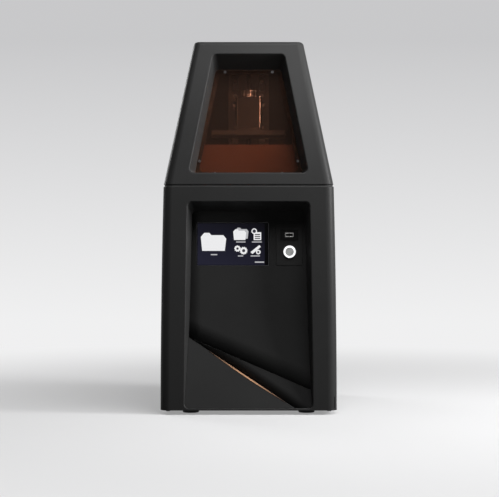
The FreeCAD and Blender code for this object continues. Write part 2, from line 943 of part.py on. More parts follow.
hood_top_half = s.hood_top_width / 2
hood_top_front = hood_front + s.hood_lean
hood = shell_on("hood_shell", [
    hood_outline(loose_sketch("XY_Plane", z=hood_low), hood_half, hood_front, s.casing_corner),
    hood_outline(loose_sketch("XY_Plane", z=hood_top), hood_top_half, hood_top_front, s.hood_top_corner),
])
round_edges(hood, s.hood_round, lambda edge: edge.BoundBox.ZMin > hood_top.value - 0.01)
round_edges(hood, s.edge_round, lambda edge: edge.BoundBox.ZMax < hood_low.value + 0.01)
loft(hood, "Subtractive", [
    hood_outline(sketch_on(hood, "XY_Plane", (0, 0, hood_low)), hood_half, hood_front,
                 s.casing_corner, s.hood_wall),
    hood_outline(sketch_on(hood, "XY_Plane", (0, 0, hood_top - s.hood_wall)), hood_top_half, hood_top_front,
                 s.hood_top_corner, s.hood_wall),
])
tunnel_start = s.hood_wall / 2
tunnel_end = s.window_depth + s.window_pane_thick + s.window_ledge_thick
loft(hood, "Additive", [
    draw_rounded(window_sketch(hood, depth), window_corners(depth, -s.window_rim),
                 s.window_corner + s.window_rim)
    for depth in (tunnel_start, tunnel_end)
])
window_lead = -s.recess_lead
loft(hood, "Subtractive", [
    draw_rounded(window_sketch(hood, depth), window_corners(depth), s.window_corner)
    for depth in (window_lead, s.window_depth)
])
seat_corners = window_corners(s.window_depth)
seat_sketch = draw_rounded(window_sketch(hood, s.window_depth), seat_corners, s.window_corner)
pocket(hood, seat_sketch, s.window_pane_thick)
view_corners = window_corners(s.window_depth, s.window_ledge)
view_sketch = draw_rounded(window_sketch(hood, s.window_depth), view_corners, s.window_corner)
pocket(hood, view_sketch, s.window_pane_thick + s.window_ledge_thick * 2)
grip_sketch = draw(sketch_on(hood, "XZ_Plane", (0, 0, -hood_front)),
                   oblong(s.grip_width / 2, hood_low - s.hood_gap, hood_low + s.grip_height))
pocket(hood, grip_sketch, s.hood_wall, symmetric=True)


def before_hood(point):
    """How far a point is from the plane of the hood's sloping front."""
    across = (point.y - hood_front.value) * cosine(hood_angle).value
    return abs(across - (point.z - hood_low.value) * sine(hood_angle).value)


def window_mouth(edge):
    """Whether an edge is part of the window's mouth in the hood's sloping front."""
    box = edge.optimalBoundingBox(False)
    mouth_half = (s.window_foot_width / 2 + s.edge_round).value
    if max(-box.XMin, box.XMax) > mouth_half:
        return False
    if box.ZMin < (hood_low + s.window_sill / 2).value or box.ZMax > (hood_top - s.hood_round * 2).value:
        return False
    return max(before_hood(point) for point in edge.discretize(5)) < s.running_gap.value


round_edges(hood, s.window_round, window_mouth)

window_screw_corners = window_corners(s.window_depth, s.window_screw_inset)
screw_foot_half, screw_low = window_screw_corners[1]
screw_head_half, screw_high = window_screw_corners[2]


def window_side(up):
    """How far out a screw on the pane's slanting side is, at a height along the pane."""
    share = (up - screw_low) / (screw_high - screw_low)
    return screw_foot_half + (screw_head_half - screw_foot_half) * share


window_screw_places = []
for side in SIDES:
    window_screw_places += [
        (s.window_screw_top * side, screw_high),
        (s.window_screw_foot * side, screw_low),
        (window_side(s.window_screw_low) * side, s.window_screw_low),
    ]
ledge_holes = draw_circles(window_sketch(hood, s.window_depth), window_screw_places, s.screw_hole_radius)
pocket(hood, ledge_holes, s.window_pane_thick + s.window_ledge_thick * 2)

# Window pane, set in the tunnel's end on its ledge
pane = keep("window_pane", doc.addObject("PartDesign::Body", "window_pane"))
pane_sketch = window_sketch(pane, s.window_depth)
draw_rounded(pane_sketch, window_corners(s.window_depth, s.fit_gap), s.window_corner)
pad(pane, pane_sketch, s.window_pane_thick - s.panel_gap, backwards=True)
pane_holes = draw_circles(window_sketch(pane, s.window_depth), window_screw_places, s.screw_hole_radius)
pocket(pane, pane_holes, s.window_pane_thick * 2, symmetric=True)

# Hinges: five knuckles each, three on the casing and two on the hood, round a pin
hinge_y = back_y + s.hinge_reach - s.barrel_radius
hinge_z = seam_z + s.hood_gap / 2
KNUCKLES = 5
knuckle_width = s.hinge_width / KNUCKLES
leaf_screw_x = s.hinge_width / 2 - knuckle_width / 2


def hinge_leaf(middle_x, numbers, leaf_span, web_span):
    start_x = middle_x - s.hinge_width / 2
    pieces = [block((start_x, start_x + s.hinge_width), (back_y, back_y + s.leaf_thick), leaf_span)]
    for number in numbers:
        low = start_x + knuckle_width * number + s.knuckle_gap / 2
        high = low + knuckle_width - s.knuckle_gap
        pieces.append(rod("x", s.barrel_radius, low, hinge_y, hinge_z, high - low))
        pieces.append(block((low, high), (back_y, hinge_y), web_span))
    holes = [rod("x", s.pin_radius + s.running_gap, start_x, hinge_y, hinge_z, s.hinge_width)]
    for side in SIDES:
        hole_x = middle_x + leaf_screw_x * side
        hole_z = (leaf_span[0] + leaf_span[1]) / 2
        holes.append(rod("y", s.screw_hole_radius, hole_x, back_y, hole_z, s.leaf_thick))
    return cut(fuse(*pieces), *holes)


casing_leaf = (seam_z - s.leaf_height, seam_z - s.edge_round)
hood_leaf = (hood_low + s.edge_round, hood_low + s.leaf_height)
hinge_middles = [s.hinge_offset * side for side in SIDES]
keep("casing_hinge_leaves", group(*[
    hinge_leaf(x, (0, 2, 4), casing_leaf, (hinge_z - s.barrel_radius, hinge_z)) for x in hinge_middles]))
keep("hood_hinge_leaves", group(*[
    hinge_leaf(x, (1, 3), hood_leaf, (hinge_z, hinge_z + s.barrel_radius)) for x in hinge_middles]))
keep("hinge_pins", group(*[
    rod("x", s.pin_radius, x - s.hinge_width / 2, hinge_y, hinge_z, s.hinge_width) for x in hinge_middles]))


def leaf_screw_places(leaf_span):
    height = (leaf_span[0] + leaf_span[1]) / 2
    return [(x + leaf_screw_x * side, height) for x in hinge_middles for side in SIDES]


def rear_sketch(body):
    return sketch_on(body, "XZ_Plane", (0, 0, -back_y))


casing_leaf_places = leaf_screw_places(casing_leaf)
hood_leaf_places = leaf_screw_places(hood_leaf)
pocket(casing, draw_circles(rear_sketch(casing), casing_leaf_places, s.screw_hole_radius),
       s.screw_length, backwards=True)
pocket(hood, draw_circles(rear_sketch(hood), hood_leaf_places, s.screw_hole_radius),
       s.screw_length, backwards=True)


def leaf_screws(places):
    return [screw("y", 1, x, back_y + s.leaf_thick, z, s.screw_length) for x, z in places]


window_screws = []
for x, up in window_screw_places:
    length = s.window_pane_thick + s.window_ledge_thick
    one = screw("y", -1, x, s.window_depth, up, length, s.small_head_radius, s.small_head_height)
    window_screws.append(lean(one, window_frame))
keep("hood_screws", group(*window_screws, *leaf_screws(hood_leaf_places)))

# Seal on the casing's rim, in the seam under the hood
seal = keep("rim_seal", doc.addObject("PartDesign::Body", "rim_seal"))
seal_outer = s.seal_inset
seal_inner = s.seal_inset + s.seal_width
for inset in (seal_outer, seal_inner):
    corners = oblong(top_half - inset, front_y + s.casing_crown + inset, back_y - inset)
    outline = draw_rounded(sketch_on(seal, "XY_Plane", (0, 0, seam_z)), corners, s.casing_corner - inset)
    if inset is seal_outer:
        pad(seal, outline, s.seal_height)
    else:
        pocket(seal, outline, s.seal_height * 2, symmetric=True)

# Base plate with vents, feet and the screws of the underside
foot_places = []
for side in SIDES:
    for y in (front_y + s.foot_inset_y, back_y - s.foot_inset_y):
        foot_places.append(((bottom_half - s.foot_inset_x) * side, y))
plate_half = bottom_half - s.casing_wall - s.fit_gap
plate_back = back_y - s.casing_wall - s.fit_gap
plate_front = front_y + s.casing_wall + s.fit_gap
notch_back = panel_foot(floor_z, s.panel_thick)[0] + s.fit_gap * 4
notch_half = panel_width / 2 + s.fit_gap
base = keep("base_plate", doc.addObject("PartDesign::Body", "base_plate"))
base_sketch = sketch_on(base, "XY_Plane", (0, 0, floor_z))
draw(base_sketch, [
    (-plate_half, plate_front + s.casing_corner),
    (-plate_half + s.casing_corner, plate_front),
    (-notch_half, plate_front),
    (-notch_half, notch_back),
    (notch_half, notch_back),
    (notch_half, plate_front),
    (plate_half - s.casing_corner, plate_front),
    (plate_half, plate_front + s.casing_corner),
    (plate_half, plate_back - s.casing_corner),
    (plate_half - s.casing_corner, plate_back),
    (-plate_half + s.casing_corner, plate_back),
    (-plate_half, plate_back - s.casing_corner),
])
pad(base, base_sketch, s.plate_thick)
vents = sketch_on(base, "XY_Plane", (0, 0, floor_z))
VENT_ROWS = 6
for row in range(VENT_ROWS):
    vent_y = s.axis_y + s.vent_pitch * (row - (VENT_ROWS - 1) / 2)
    draw(vents, oblong(s.vent_length / 2, vent_y - s.vent_width / 2, vent_y + s.vent_width / 2))
pocket(base, vents, s.plate_thick * 2, symmetric=True)
base_holes = draw_circles(sketch_on(base, "XY_Plane", (0, 0, floor_z)), boss_places, s.screw_hole_radius)
draw_circles(base_holes, foot_places, s.screw_hole_radius)
pocket(base, base_holes, s.plate_thick * 2, symmetric=True)

feet = []
underside_screws = []
for x, y in foot_places:
    foot = cone(s.foot_base_radius, s.foot_top_radius, x, y, 0, s.foot_height)
    bore = rod("z", s.foot_bore_radius, x, y, 0, s.foot_bore_depth)
    hole = rod("z", s.foot_hole_radius, x, y, 0, s.foot_height)
    feet.append(cut(foot, bore, hole))
    underside_screws.append(screw("z", -1, x, y, s.foot_bore_depth, s.screw_length))
keep("feet", group(*feet))
for x, y in boss_places:
    underside_screws.append(screw("z", -1, x, y, floor_z, s.screw_length))

# Front panel: one curved sheet with openings for the screen and the key plate
panel_frame = (panel_y, panel_z, s.panel_tilt)
panel_low = floor_z + s.panel_gap
panel = keep("front_panel", doc.addObject("PartDesign::Body", "front_panel"))
panel_profile = sketch_on(panel, "YZ_Plane")
draw(panel_profile, [
    panel_foot(panel_low, 0),
    panel_foot(panel_low, s.panel_thick),
    panel_bend(s.panel_thick),
    panel_head(panel_top, s.panel_thick),
    panel_head(panel_top, 0),
    panel_bend(0),
], {1: s.panel_bend_radius + s.panel_thick, 5: -s.panel_bend_radius})
pad(panel, panel_profile, panel_width, symmetric=True)


def panel_sketch(body, depth):
    """A sketch parallel to the panel's straight upper part, some way behind its front."""
    shift = (0, panel_z - depth * sine(s.panel_tilt), -panel_y - depth * cosine(s.panel_tilt))
    return sketch_on(body, "XZ_Plane", shift, s.panel_tilt)


def screen_corners(spare):
    return oblong_at(-s.screen_offset, s.screen_width - spare * 2, ZERO, s.screen_tall - spare * 2)


def key_corners(spare):
    return oblong_at(s.key_offset, s.key_width - spare * 2, ZERO, s.key_tall - spare * 2)


for corners, corner in ((screen_corners(ZERO), s.screen_corner), (key_corners(ZERO), s.key_corner)):
    opening = draw_rounded(panel_sketch(panel, ZERO), corners, corner)
    pocket(panel, opening, s.panel_thick * 4, symmetric=True)

# Lower facets: a thin curved overlay below the crease, and a flat corner plate that ramps forward
fold_start = (-s.fold_start_x, floor_z + s.fold_start_height)
fold_end = (s.fold_end_x, floor_z)
trim_depth = s.recess_reach * 2
trim_width = s.recess_foot_width


def trim_sketch():
    return loose_sketch("XZ_Plane", y=front_y)


def recess_plug():
    """What fills the recess with a thin gap all round, to trim the facets to its walls."""
    plug = doc.addObject("Part::Loft", "plug")
    plug.Sections = [
        recess_section(loose_sketch("XZ_Plane", y=front_y - s.recess_lead), -s.recess_lead, s.fit_gap),
        recess_section(loose_sketch("XZ_Plane", y=front_y + s.recess_reach), s.recess_reach, s.fit_gap),
    ]
    plug.Solid = True
    plug.Ruled = True
    return plug


facet_front = -s.panel_gap - s.facet_thick
facet_high = fold_start[1] + s.facet_thick
facet_profile = loose_sketch("YZ_Plane")
draw(facet_profile, [
    panel_foot(floor_z, facet_front),
    panel_foot(floor_z, -s.panel_gap),
    panel_foot(facet_high, -s.panel_gap),
    panel_foot(facet_high, facet_front),
], {1: s.panel_bend_radius - s.panel_gap, 3: -(s.panel_bend_radius + facet_front)})
facet_outline = draw(trim_sketch(), [
    fold_start,
    fold_end,
    (s.crease_end_x, floor_z),
    (s.crease_end_x, floor_z + s.crease_end_height),
])
keep("facet_panel", common(
    prism(facet_profile, trim_width),
    prism(facet_outline, trim_depth),
    recess_plug(),
))

corner_low = (front_y + s.corner_flush, floor_z)
corner_high = panel_foot(fold_start[1], facet_front - s.panel_gap)
corner_profile = loose_sketch("YZ_Plane")
draw(corner_profile, [
    corner_low,
    panel_foot(floor_z, -s.panel_gap),
    panel_foot(fold_start[1], -s.panel_gap),
    corner_high,
], {1: s.panel_bend_radius - s.panel_gap})
corner_outline = draw(trim_sketch(), [
    (-s.crease_end_x, floor_z),
    (fold_end[0] - s.fit_gap, floor_z),
    (fold_start[0], fold_start[1] - s.fit_gap),
    (-s.crease_end_x, fold_start[1] - s.fit_gap),
])
corner_blank = common(prism(corner_profile, trim_width), prism(corner_outline, trim_depth), recess_plug())


# Accent strip: a thin lens inlaid along the corner plate's folded edge
def fold_height(x):
    """Height of the corner plate's folded edge at a place across the panel."""
    run = fold_end[0] - s.fit_gap - fold_start[0]
    return fold_start[1] - s.fit_gap - (fold_start[1] - s.fit_gap - floor_z) * ((x - fold_start[0]) / run)


accent_start = (-s.accent_start_x, fold_height(-s.accent_start_x))
accent_end = (s.accent_end_x, fold_height(s.accent_end_x))
accent_outline = draw(trim_sketch(), [accent_end, accent_start], {1: s.accent_bow_radius})
accent_profile = draw(loose_sketch("YZ_Plane"), [
    (corner_low[0] - s.accent_proud, corner_low[1]),
    (corner_low[0] + s.accent_sink, corner_low[1]),
    (corner_high[0] + s.accent_sink, corner_high[1]),
    (corner_high[0] - s.accent_proud, corner_high[1]),
])
accent = keep("accent_strip", common(prism(accent_profile, trim_width), prism(accent_outline, trim_depth)))
keep("corner_plate", cut(corner_blank, accent))

# Touch screen: a glass in the panel's opening and the display module behind the panel
behind_panel = s.panel_thick + s.panel_gap
touch_glass = keep("touch_glass", doc.addObject("PartDesign::Body", "touch_glass"))
glass_outline = panel_sketch(touch_glass, s.screen_sink)
draw_rounded(glass_outline, screen_corners(s.fit_gap), s.screen_corner)
pad(touch_glass, glass_outline, s.glass_thick, backwards=True)
module_half = s.screen_width / 2 + s.module_margin
module_rise = s.screen_tall / 2 + s.module_margin
module = block(
    (-s.screen_offset - module_half, -s.screen_offset + module_half),
    (behind_panel, behind_panel + s.module_thick),
    (-module_rise, module_rise),
)
keep("display_module", lean(group(module), panel_frame))

# Key plate: a raised plate in its own opening, held by a flange behind the panel
key_plate = keep("key_plate", doc.addObject("PartDesign::Body", "key_plate"))
key_outline = draw_rounded(panel_sketch(key_plate, s.key_sink), key_corners(s.key_groove), s.key_corner)
pad(key_plate, key_outline, behind_panel - s.key_sink, backwards=True)
flange_outline = panel_sketch(key_plate, behind_panel)
draw_rounded(flange_outline, key_corners(-s.key_flange), s.key_corner)
pad(key_plate, flange_outline, s.key_flange_thick, backwards=True)
usb_neck_width = s.usb_width - s.usb_lip * 2
usb_neck_tall = s.usb_tall - s.usb_lip * 2
key_holes = panel_sketch(key_plate, ZERO)
draw(key_holes, oblong_at(
    s.usb_offset, usb_neck_width + s.fit_gap * 2, s.usb_rise, usb_neck_tall + s.fit_gap * 2))
draw_circles(key_holes, [(s.button_offset, -s.button_drop)], s.bezel_barrel_radius + s.fit_gap)
pocket(key_plate, key_holes, s.panel_thick * 6, symmetric=True)


# USB socket: a housing with a tongue, lined with a metal shell
def usb_block(width, tall, y_span):
    return block(
        (s.usb_offset - width / 2, s.usb_offset + width / 2),
        y_span,
        (s.usb_rise - tall / 2, s.usb_rise + tall / 2),
    )


usb_front = s.key_sink - s.usb_lip_thick
usb_floor = usb_front + s.usb_slot_depth
lined_width = s.usb_slot_width + s.usb_metal * 2
lined_tall = s.usb_slot_tall + s.usb_metal * 2
tongue_low = s.usb_rise + s.tongue_rise - s.tongue_thick / 2
tongue = block(
    (s.usb_offset - s.tongue_width / 2, s.usb_offset + s.tongue_width / 2),
    (usb_front + s.usb_slot_depth / 4, usb_floor),
    (tongue_low, tongue_low + s.tongue_thick),
)
usb_blank = fuse(
    usb_block(s.usb_width, s.usb_tall, (usb_front, s.key_sink)),
    usb_block(usb_neck_width, usb_neck_tall, (s.key_sink, usb_front + s.usb_depth)),
)
usb_housing = fuse(cut(usb_blank, usb_block(lined_width, lined_tall, (usb_front, usb_floor))), tongue)
keep("usb_housing", lean(group(usb_housing), panel_frame))
usb_liner = cut(
    usb_block(lined_width, lined_tall, (usb_front, usb_floor)),
    usb_block(s.usb_slot_width, s.usb_slot_tall, (usb_front, usb_floor)),
)
keep("usb_shell", lean(usb_liner, panel_frame))


# Power button: a bezel with a long barrel, a light ring round the cap, and the cap itself
def button_rod(radius, start, length):
    return rod("y", radius, s.button_offset, start, -s.button_drop, length)


bezel_front = s.key_sink - s.bezel_thick
light_pocket = s.light_sink + s.light_thick
cap_front = s.key_sink - s.cap_proud
bore_end = cap_front + s.cap_length + s.cap_travel + s.fit_gap
bezel = cut(
    fuse(
        button_rod(s.bezel_radius, bezel_front, s.bezel_thick),
        button_rod(s.bezel_barrel_radius, s.key_sink, s.bezel_barrel_depth),
    ),
    button_rod(s.light_radius + s.panel_gap, bezel_front, light_pocket),
    button_rod(s.cap_radius + s.running_gap, bezel_front, bore_end - bezel_front),
)
keep("button_bezel", lean(bezel, panel_frame))
light_ring = cut(
    button_rod(s.light_radius, bezel_front + s.light_sink, s.light_thick),
    button_rod(s.cap_radius + s.fit_gap, bezel_front + s.light_sink, s.light_thick),
)
keep("button_light_ring", lean(light_ring, panel_frame))
keep("power_button", lean(group(button_rod(s.cap_radius, cap_front, s.cap_length)), panel_frame))


# Deck with the light's opening, on the casing's ledge
def deep(half_width, half_depth, middle_y=s.axis_y):
    """Corners of a rectangle about the light's axis, seen from above."""
    return oblong(half_width, middle_y - half_depth, middle_y + half_depth)


light_half = s.light_width / 2
light_reach = s.light_depth / 2
column_screw_y = s.column_front + s.column_screw_depth
column_screw_places = [(s.column_screw_offset * side, column_screw_y) for side in SIDES]
deck = keep("top_deck", doc.addObject("PartDesign::Body", "top_deck"))
deck_outline = sketch_on(deck, "XY_Plane", (0, 0, deck_low))
pad(deck, casing_outline(deck_outline, s.casing_crown, s.casing_wall + s.fit_gap), s.deck_thick)
light_opening = draw(sketch_on(deck, "XY_Plane", (0, 0, deck_top)), deep(light_half, light_reach))
pocket(deck, light_opening, s.deck_thick * 2)
rebate_half = light_half + s.glass_margin + s.fit_gap
rebate_reach = light_reach + s.glass_margin + s.fit_gap
rebate = draw(sketch_on(deck, "XY_Plane", (0, 0, deck_top)), deep(rebate_half, rebate_reach))
pocket(deck, rebate, s.pane_thick)
deck_holes = sketch_on(deck, "XY_Plane", (0, 0, deck_top))
draw_circles(deck_holes, deck_screw_places + column_screw_places, s.screw_hole_radius)
draw_circles(deck_holes, [(ZERO, s.column_front)], s.pilot_radius + s.fit_gap)
pocket(deck, deck_holes, s.deck_thick * 2)


def slab(half_width, half_depth, low, high):
    return block((-half_width, half_width), (s.axis_y - half_depth, s.axis_y + half_depth), (low, high))


keep("projection_glass", group(slab(
    light_half + s.glass_margin, light_reach + s.glass_margin, deck_top - s.pane_thick, deck_top)))

# Vat seat on the deck, with the studs of the turn-clamps
seat_top = deck_top + s.seat_thick
seat = keep("vat_seat", doc.addObject("PartDesign::Body", "vat_seat"))
seat_outline = sketch_on(seat, "XY_Plane", (0, 0, deck_top))
pad(seat, draw_rounded(seat_outline, deep(s.seat_width / 2, s.seat_depth / 2), s.seat_corner), s.seat_thick)
seat_holes = draw(sketch_on(seat, "XY_Plane", (0, 0, seat_top)), deep(light_half, light_reach))
stud_x = s.vat_width / 2 + s.vat_flange + s.stud_offset
stud_places = [(stud_x * side, s.axis_y) for side in SIDES]
draw_circles(seat_holes, stud_places, s.stud_radius + s.running_gap)
pocket(seat, seat_holes, s.seat_thick * 2)

# Vat: a frame and a film under a drafted tub with a flange at its foot
frame_top = seat_top + s.frame_thick
vat_low = frame_top + s.film_thick
vat_top = vat_low + s.vat_height
flange_top = vat_low + s.vat_flange_thick
flange_half = s.vat_width / 2 + s.vat_flange
flange_reach = s.vat_depth / 2 + s.vat_flange
keep("film_frame", cut(
    slab(flange_half, flange_reach, seat_top, frame_top),
    slab(light_half, light_reach, seat_top, frame_top),
))
keep("vat_film", group(slab(flange_half, flange_reach, frame_top, vat_low)))


def vat_outline(sketch, draft, wall=0):
    corners = deep(s.vat_width / 2 - draft - wall, s.vat_depth / 2 - draft - wall)
    return draw_rounded(sketch, corners, s.vat_corner - wall)


vat = shell_on("vat_body", [
    vat_outline(loose_sketch("XY_Plane", z=vat_low), s.vat_draft),
    vat_outline(loose_sketch("XY_Plane", z=vat_top), 0),
])
flange_sketch = sketch_on(vat, "XY_Plane", (0, 0, vat_low))
draw_rounded(flange_sketch, deep(flange_half, flange_reach), s.seat_corner)
pad(vat, flange_sketch, s.vat_flange_thick)
loft(vat, "Subtractive", [
    vat_outline(sketch_on(vat, "XY_Plane", (0, 0, vat_low)), s.vat_draft, s.vat_wall),
    vat_outline(sketch_on(vat, "XY_Plane", (0, 0, vat_top)), 0, s.vat_wall),
])

# Splash guard: a tinted plate on the seat's front face
guard_back = s.axis_y - s.seat_depth / 2
guard = keep("splash_guard", doc.addObject("PartDesign::Body", "splash_guard"))
guard_sketch = sketch_on(guard, "XZ_Plane", (0, 0, -guard_back))
guard_top = deck_top + s.guard_height
draw(guard_sketch, trapezoid(s.guard_foot_width / 2, s.guard_top_width / 2, deck_top, guard_top))
pad(guard, guard_sketch, s.guard_thick)

# Turn-clamps: a finger over the vat's flange on each side, on a headed stud
finger_low = flange_top + s.fit_gap
finger_top = finger_low + s.clamp_finger_thick
hub_low = seat_top + s.fit_gap
stud_top = finger_top + s.fit_gap
studs = []
for side, label in zip(SIDES, ("vat_clamp_left", "vat_clamp_right")):
    x = stud_x * side
    ends = sorted((x, (flange_half - s.clamp_overlap) * side), key=value_of)
    y_span = (s.axis_y - s.clamp_finger_width / 2, s.axis_y + s.clamp_finger_width / 2)
    hub = rod("z", s.clamp_hub_radius, x, s.axis_y, hub_low, finger_top - hub_low)
    finger = block(ends, y_span, (finger_low, finger_top))
    clamp_bore = rod("z", s.stud_radius + s.running_gap, x, s.axis_y, hub_low, finger_top - hub_low)
    keep(label, cut(fuse(hub, finger), clamp_bore))
    stem = rod("z", s.stud_radius, x, s.axis_y, deck_top, stud_top - deck_top)
    studs.append(fuse(stem, rod("z", s.stud_head_radius, x, s.axis_y, stud_top, s.stud_head_thick)))
keep("clamp_studs", group(*studs))

# Column with two rails on its front
column_top = deck_top + s.column_height
column_back = s.column_front + s.column_depth
column_holes = [rod("z", s.screw_hole_radius, x, y, deck_top, s.screw_length + s.fit_gap)
                for x, y in column_screw_places]
keep("z_column", cut(
    block((-s.column_width / 2, s.column_width / 2), (s.column_front, column_back), (deck_top, column_top)),
    block((-s.slot_width / 2, s.slot_width / 2), (s.column_front, s.column_front + s.slot_depth),
          (deck_top, column_top)),
    *column_holes,
))
rail_front = s.column_front - s.rail_height
rail_span = (deck_top + s.rail_margin, column_top - s.rail_margin)


def rail_block(side, width, y_span, z_span):
    x = s.rail_offset * side
    return block((x - width / 2, x + width / 2), y_span, z_span)


keep("linear_rails", group(*[
    rail_block(side, s.rail_width, (rail_front, s.column_front), rail_span) for side in SIDES]))

# Motor under the deck, its shaft and coupler, and the lead screw up to its top bearing
motor_low = deck_low - s.motor_height
motor = keep("z_motor", doc.addObject("PartDesign::Body", "z_motor"))
motor_outline = sketch_on(motor, "XY_Plane", (0, 0, motor_low))
motor_half = s.motor_side / 2
draw_rounded(motor_outline, deep(motor_half, motor_half, s.column_front), s.motor_corner)
pad(motor, motor_outline, s.motor_height)
add_solid(motor, "AdditiveCylinder", radius=s.pilot_radius,
          at=(0, s.column_front, deck_low), length=s.pilot_height)
shaft_bore = s.motor_height + s.pilot_height - s.bearing_height
add_solid(motor, "SubtractiveCylinder", radius=s.shaft_radius + s.running_gap,
          at=(0, s.column_front, deck_low + s.pilot_height - shaft_bore), length=shaft_bore)


def screw_rod(radius, low, high):
    return rod("z", radius, 0, s.column_front, low, high - low)


coupler_low = deck_top + s.coupler_lift
coupler_top = coupler_low + s.coupler_length
screw_low_end = coupler_top - s.screw_grip
shaft_low = deck_low - s.motor_height / 2
bearing_low = column_top + s.edge_round
bearing_top = bearing_low + s.bearing_height
keep("motor_shaft", group(screw_rod(s.shaft_radius, shaft_low, screw_low_end)))
keep("motor_coupler", cut(
    screw_rod(s.coupler_radius, coupler_low, coupler_top),
    screw_rod(s.shaft_radius + s.running_gap, coupler_low, screw_low_end),
    screw_rod(s.screw_radius + s.running_gap, screw_low_end, coupler_top),
))
screw_shoulder = column_top - s.edge_round
keep("lead_screw", fuse(
    screw_rod(s.screw_radius, screw_low_end, screw_shoulder),
    screw_rod(s.screw_neck_radius, screw_shoulder, bearing_top),
))
keep("top_bearing", cut(
    screw_rod(s.bearing_radius, bearing_low, bearing_top),
    screw_rod(s.screw_neck_radius + s.running_gap, bearing_low, bearing_top),
))
support_front = s.column_front - s.bearing_radius - s.edge_round * 2
keep("screw_top_support", cut(
    block((-s.column_width / 2, s.column_width / 2), (support_front, column_back),
          (column_top, column_top + s.support_thick)),
    screw_rod(s.bearing_radius, column_top, bearing_top),
))

# Carriage: blocks on the rails, the nut on the screw and the plate that joins them
plate_z = s.platform_height + s.plate_low
carriage_back = s.column_front - s.truck_stand
carriage_front = carriage_back - s.carriage_thick
truck_span = (plate_z + s.truck_low, plate_z + s.truck_low + s.truck_length)
plate_screw_heights = (plate_z + s.plate_screw_inset, plate_z + s.plate_tall - s.plate_screw_inset)
plate_screw_length = s.carriage_thick + (s.truck_stand - s.rail_height) / 2
plate_screw_places = [(s.rail_offset * side, z) for side in SIDES for z in plate_screw_heights]


def plate_screw_holes():
    return [rod("y", s.screw_hole_radius, x, carriage_front, z, plate_screw_length)
            for x, z in plate_screw_places]


trucks = []
for side in SIDES:
    whole = rail_block(side, s.truck_width, (carriage_back, carriage_back + s.truck_height), truck_span)
    channel = rail_block(side, s.rail_width + s.truck_gap * 2,
                         (rail_front - s.truck_gap, s.column_front), truck_span)
    trucks.append(cut(whole, channel, *plate_screw_holes()))
keep("rail_blocks", group(*trucks))
nut_low = plate_z + s.nut_low
keep("lead_nut", cut(
    block((-s.nut_width / 2, s.nut_width / 2), (carriage_back, s.column_front + s.nut_reach),
          (nut_low, nut_low + s.nut_height)),
    screw_rod(s.screw_radius + s.running_gap, nut_low, nut_low + s.nut_height),
))
keep("carriage_plate", cut(
    block((-s.plate_width / 2, s.plate_width / 2), (carriage_front, carriage_back),
          (plate_z, plate_z + s.plate_tall)),
    *plate_screw_holes(),
))

# Arm from the carriage to the neck, and the neck that holds the platform
neck_low = s.platform_height + s.platform_thick + s.boss_rise
neck_top = neck_low + s.neck_tall
neck_half = s.neck_width / 2
neck_back = s.axis_y + s.neck_depth / 2
arm_low = s.platform_height + s.arm_low
arm_top = arm_low + s.arm_tall
arm_pockets = []
for side in SIDES:
    ends = sorted((s.arm_web / 2 * side, s.arm_width / 2 * side), key=value_of)
    arm_pockets.append(block(
        ends,
        (neck_back + s.arm_cap, carriage_front - s.arm_cap),
        (arm_low + s.arm_cap, arm_top - s.arm_cap),
    ))
keep("platform_arm", cut(
    block((-s.arm_width / 2, s.arm_width / 2), (neck_back, carriage_front), (arm_low, arm_top)),
    *arm_pockets,
))
neck_sketch = loose_sketch("XY_Plane", z=neck_low)
draw_rounded(neck_sketch, deep(neck_half, s.neck_depth / 2), s.neck_round)
side_screw_z = neck_low + s.side_screw_rise
stem_low = neck_top - s.knob_stem_length
stem_bore = rod("z", s.knob_stem_radius + s.running_gap, 0, s.axis_y, stem_low - s.fit_gap,
                s.knob_stem_length + s.fit_gap)
neck_holes = [rod("x", s.screw_hole_radius, -neck_half, s.axis_y, side_screw_z, s.side_screw_length),
              rod("x", s.screw_hole_radius, neck_half - s.side_screw_length, s.axis_y, side_screw_z,
                  s.side_screw_length)]
keep("platform_neck", cut(prism(neck_sketch, s.neck_tall, symmetric=False), stem_bore, *neck_holes))

platform = keep("build_platform", doc.addObject("PartDesign::Body", "build_platform"))
platform_outline = sketch_on(platform, "XY_Plane", (0, 0, s.platform_height))
draw_rounded(platform_outline, deep(s.platform_width / 2, s.platform_depth / 2), s.platform_corner)
pad(platform, platform_outline, s.platform_thick)
boss_outline = sketch_on(platform, "XY_Plane", (0, 0, s.platform_height + s.platform_thick))
pad(platform, draw(boss_outline, deep(s.boss_width / 2, s.boss_depth / 2)), s.boss_rise)

# Clamp knob on the neck: a fluted head over a plain stem
KNOB_FLUTES = 12
knob_low = neck_top + s.fit_gap
flute_reach = s.knob_radius + s.knob_flute_radius / 3
flutes = []
for number in range(KNOB_FLUTES):
    angle = math.radians(360 * number / KNOB_FLUTES)
    flutes.append(rod("z", s.knob_flute_radius, flute_reach * math.cos(angle),
                      s.axis_y + flute_reach * math.sin(angle), knob_low, s.knob_height))
knob_head = cut(rod("z", s.knob_radius, 0, s.axis_y, knob_low, s.knob_height), *flutes)
knob_stem = rod("z", s.knob_stem_radius, 0, s.axis_y, stem_low, knob_low - stem_low)
keep("clamp_knob", fuse(knob_head, knob_stem))

arm_screws = [screw("y", -1, x, carriage_front, z, plate_screw_length) for x, z in plate_screw_places]
for side in SIDES:
    arm_screws.append(screw("x", side, neck_half * side, s.axis_y, side_screw_z, s.side_screw_length,
                            s.side_screw_radius, s.side_screw_head))
keep("arm_screws", group(*arm_screws))

# Screws of the casing: under the base and the feet, on the deck, and up into the column
deck_screws = [screw("z", 1, x, y, deck_top, s.screw_length) for x, y in deck_screw_places]
column_screw_length = s.deck_thick + s.screw_length
column_screws = [screw("z", -1, x, y, deck_low, column_screw_length) for x, y in column_screw_places]
keep("casing_screws", group(*underside_screws, *deck_screws, *column_screws))

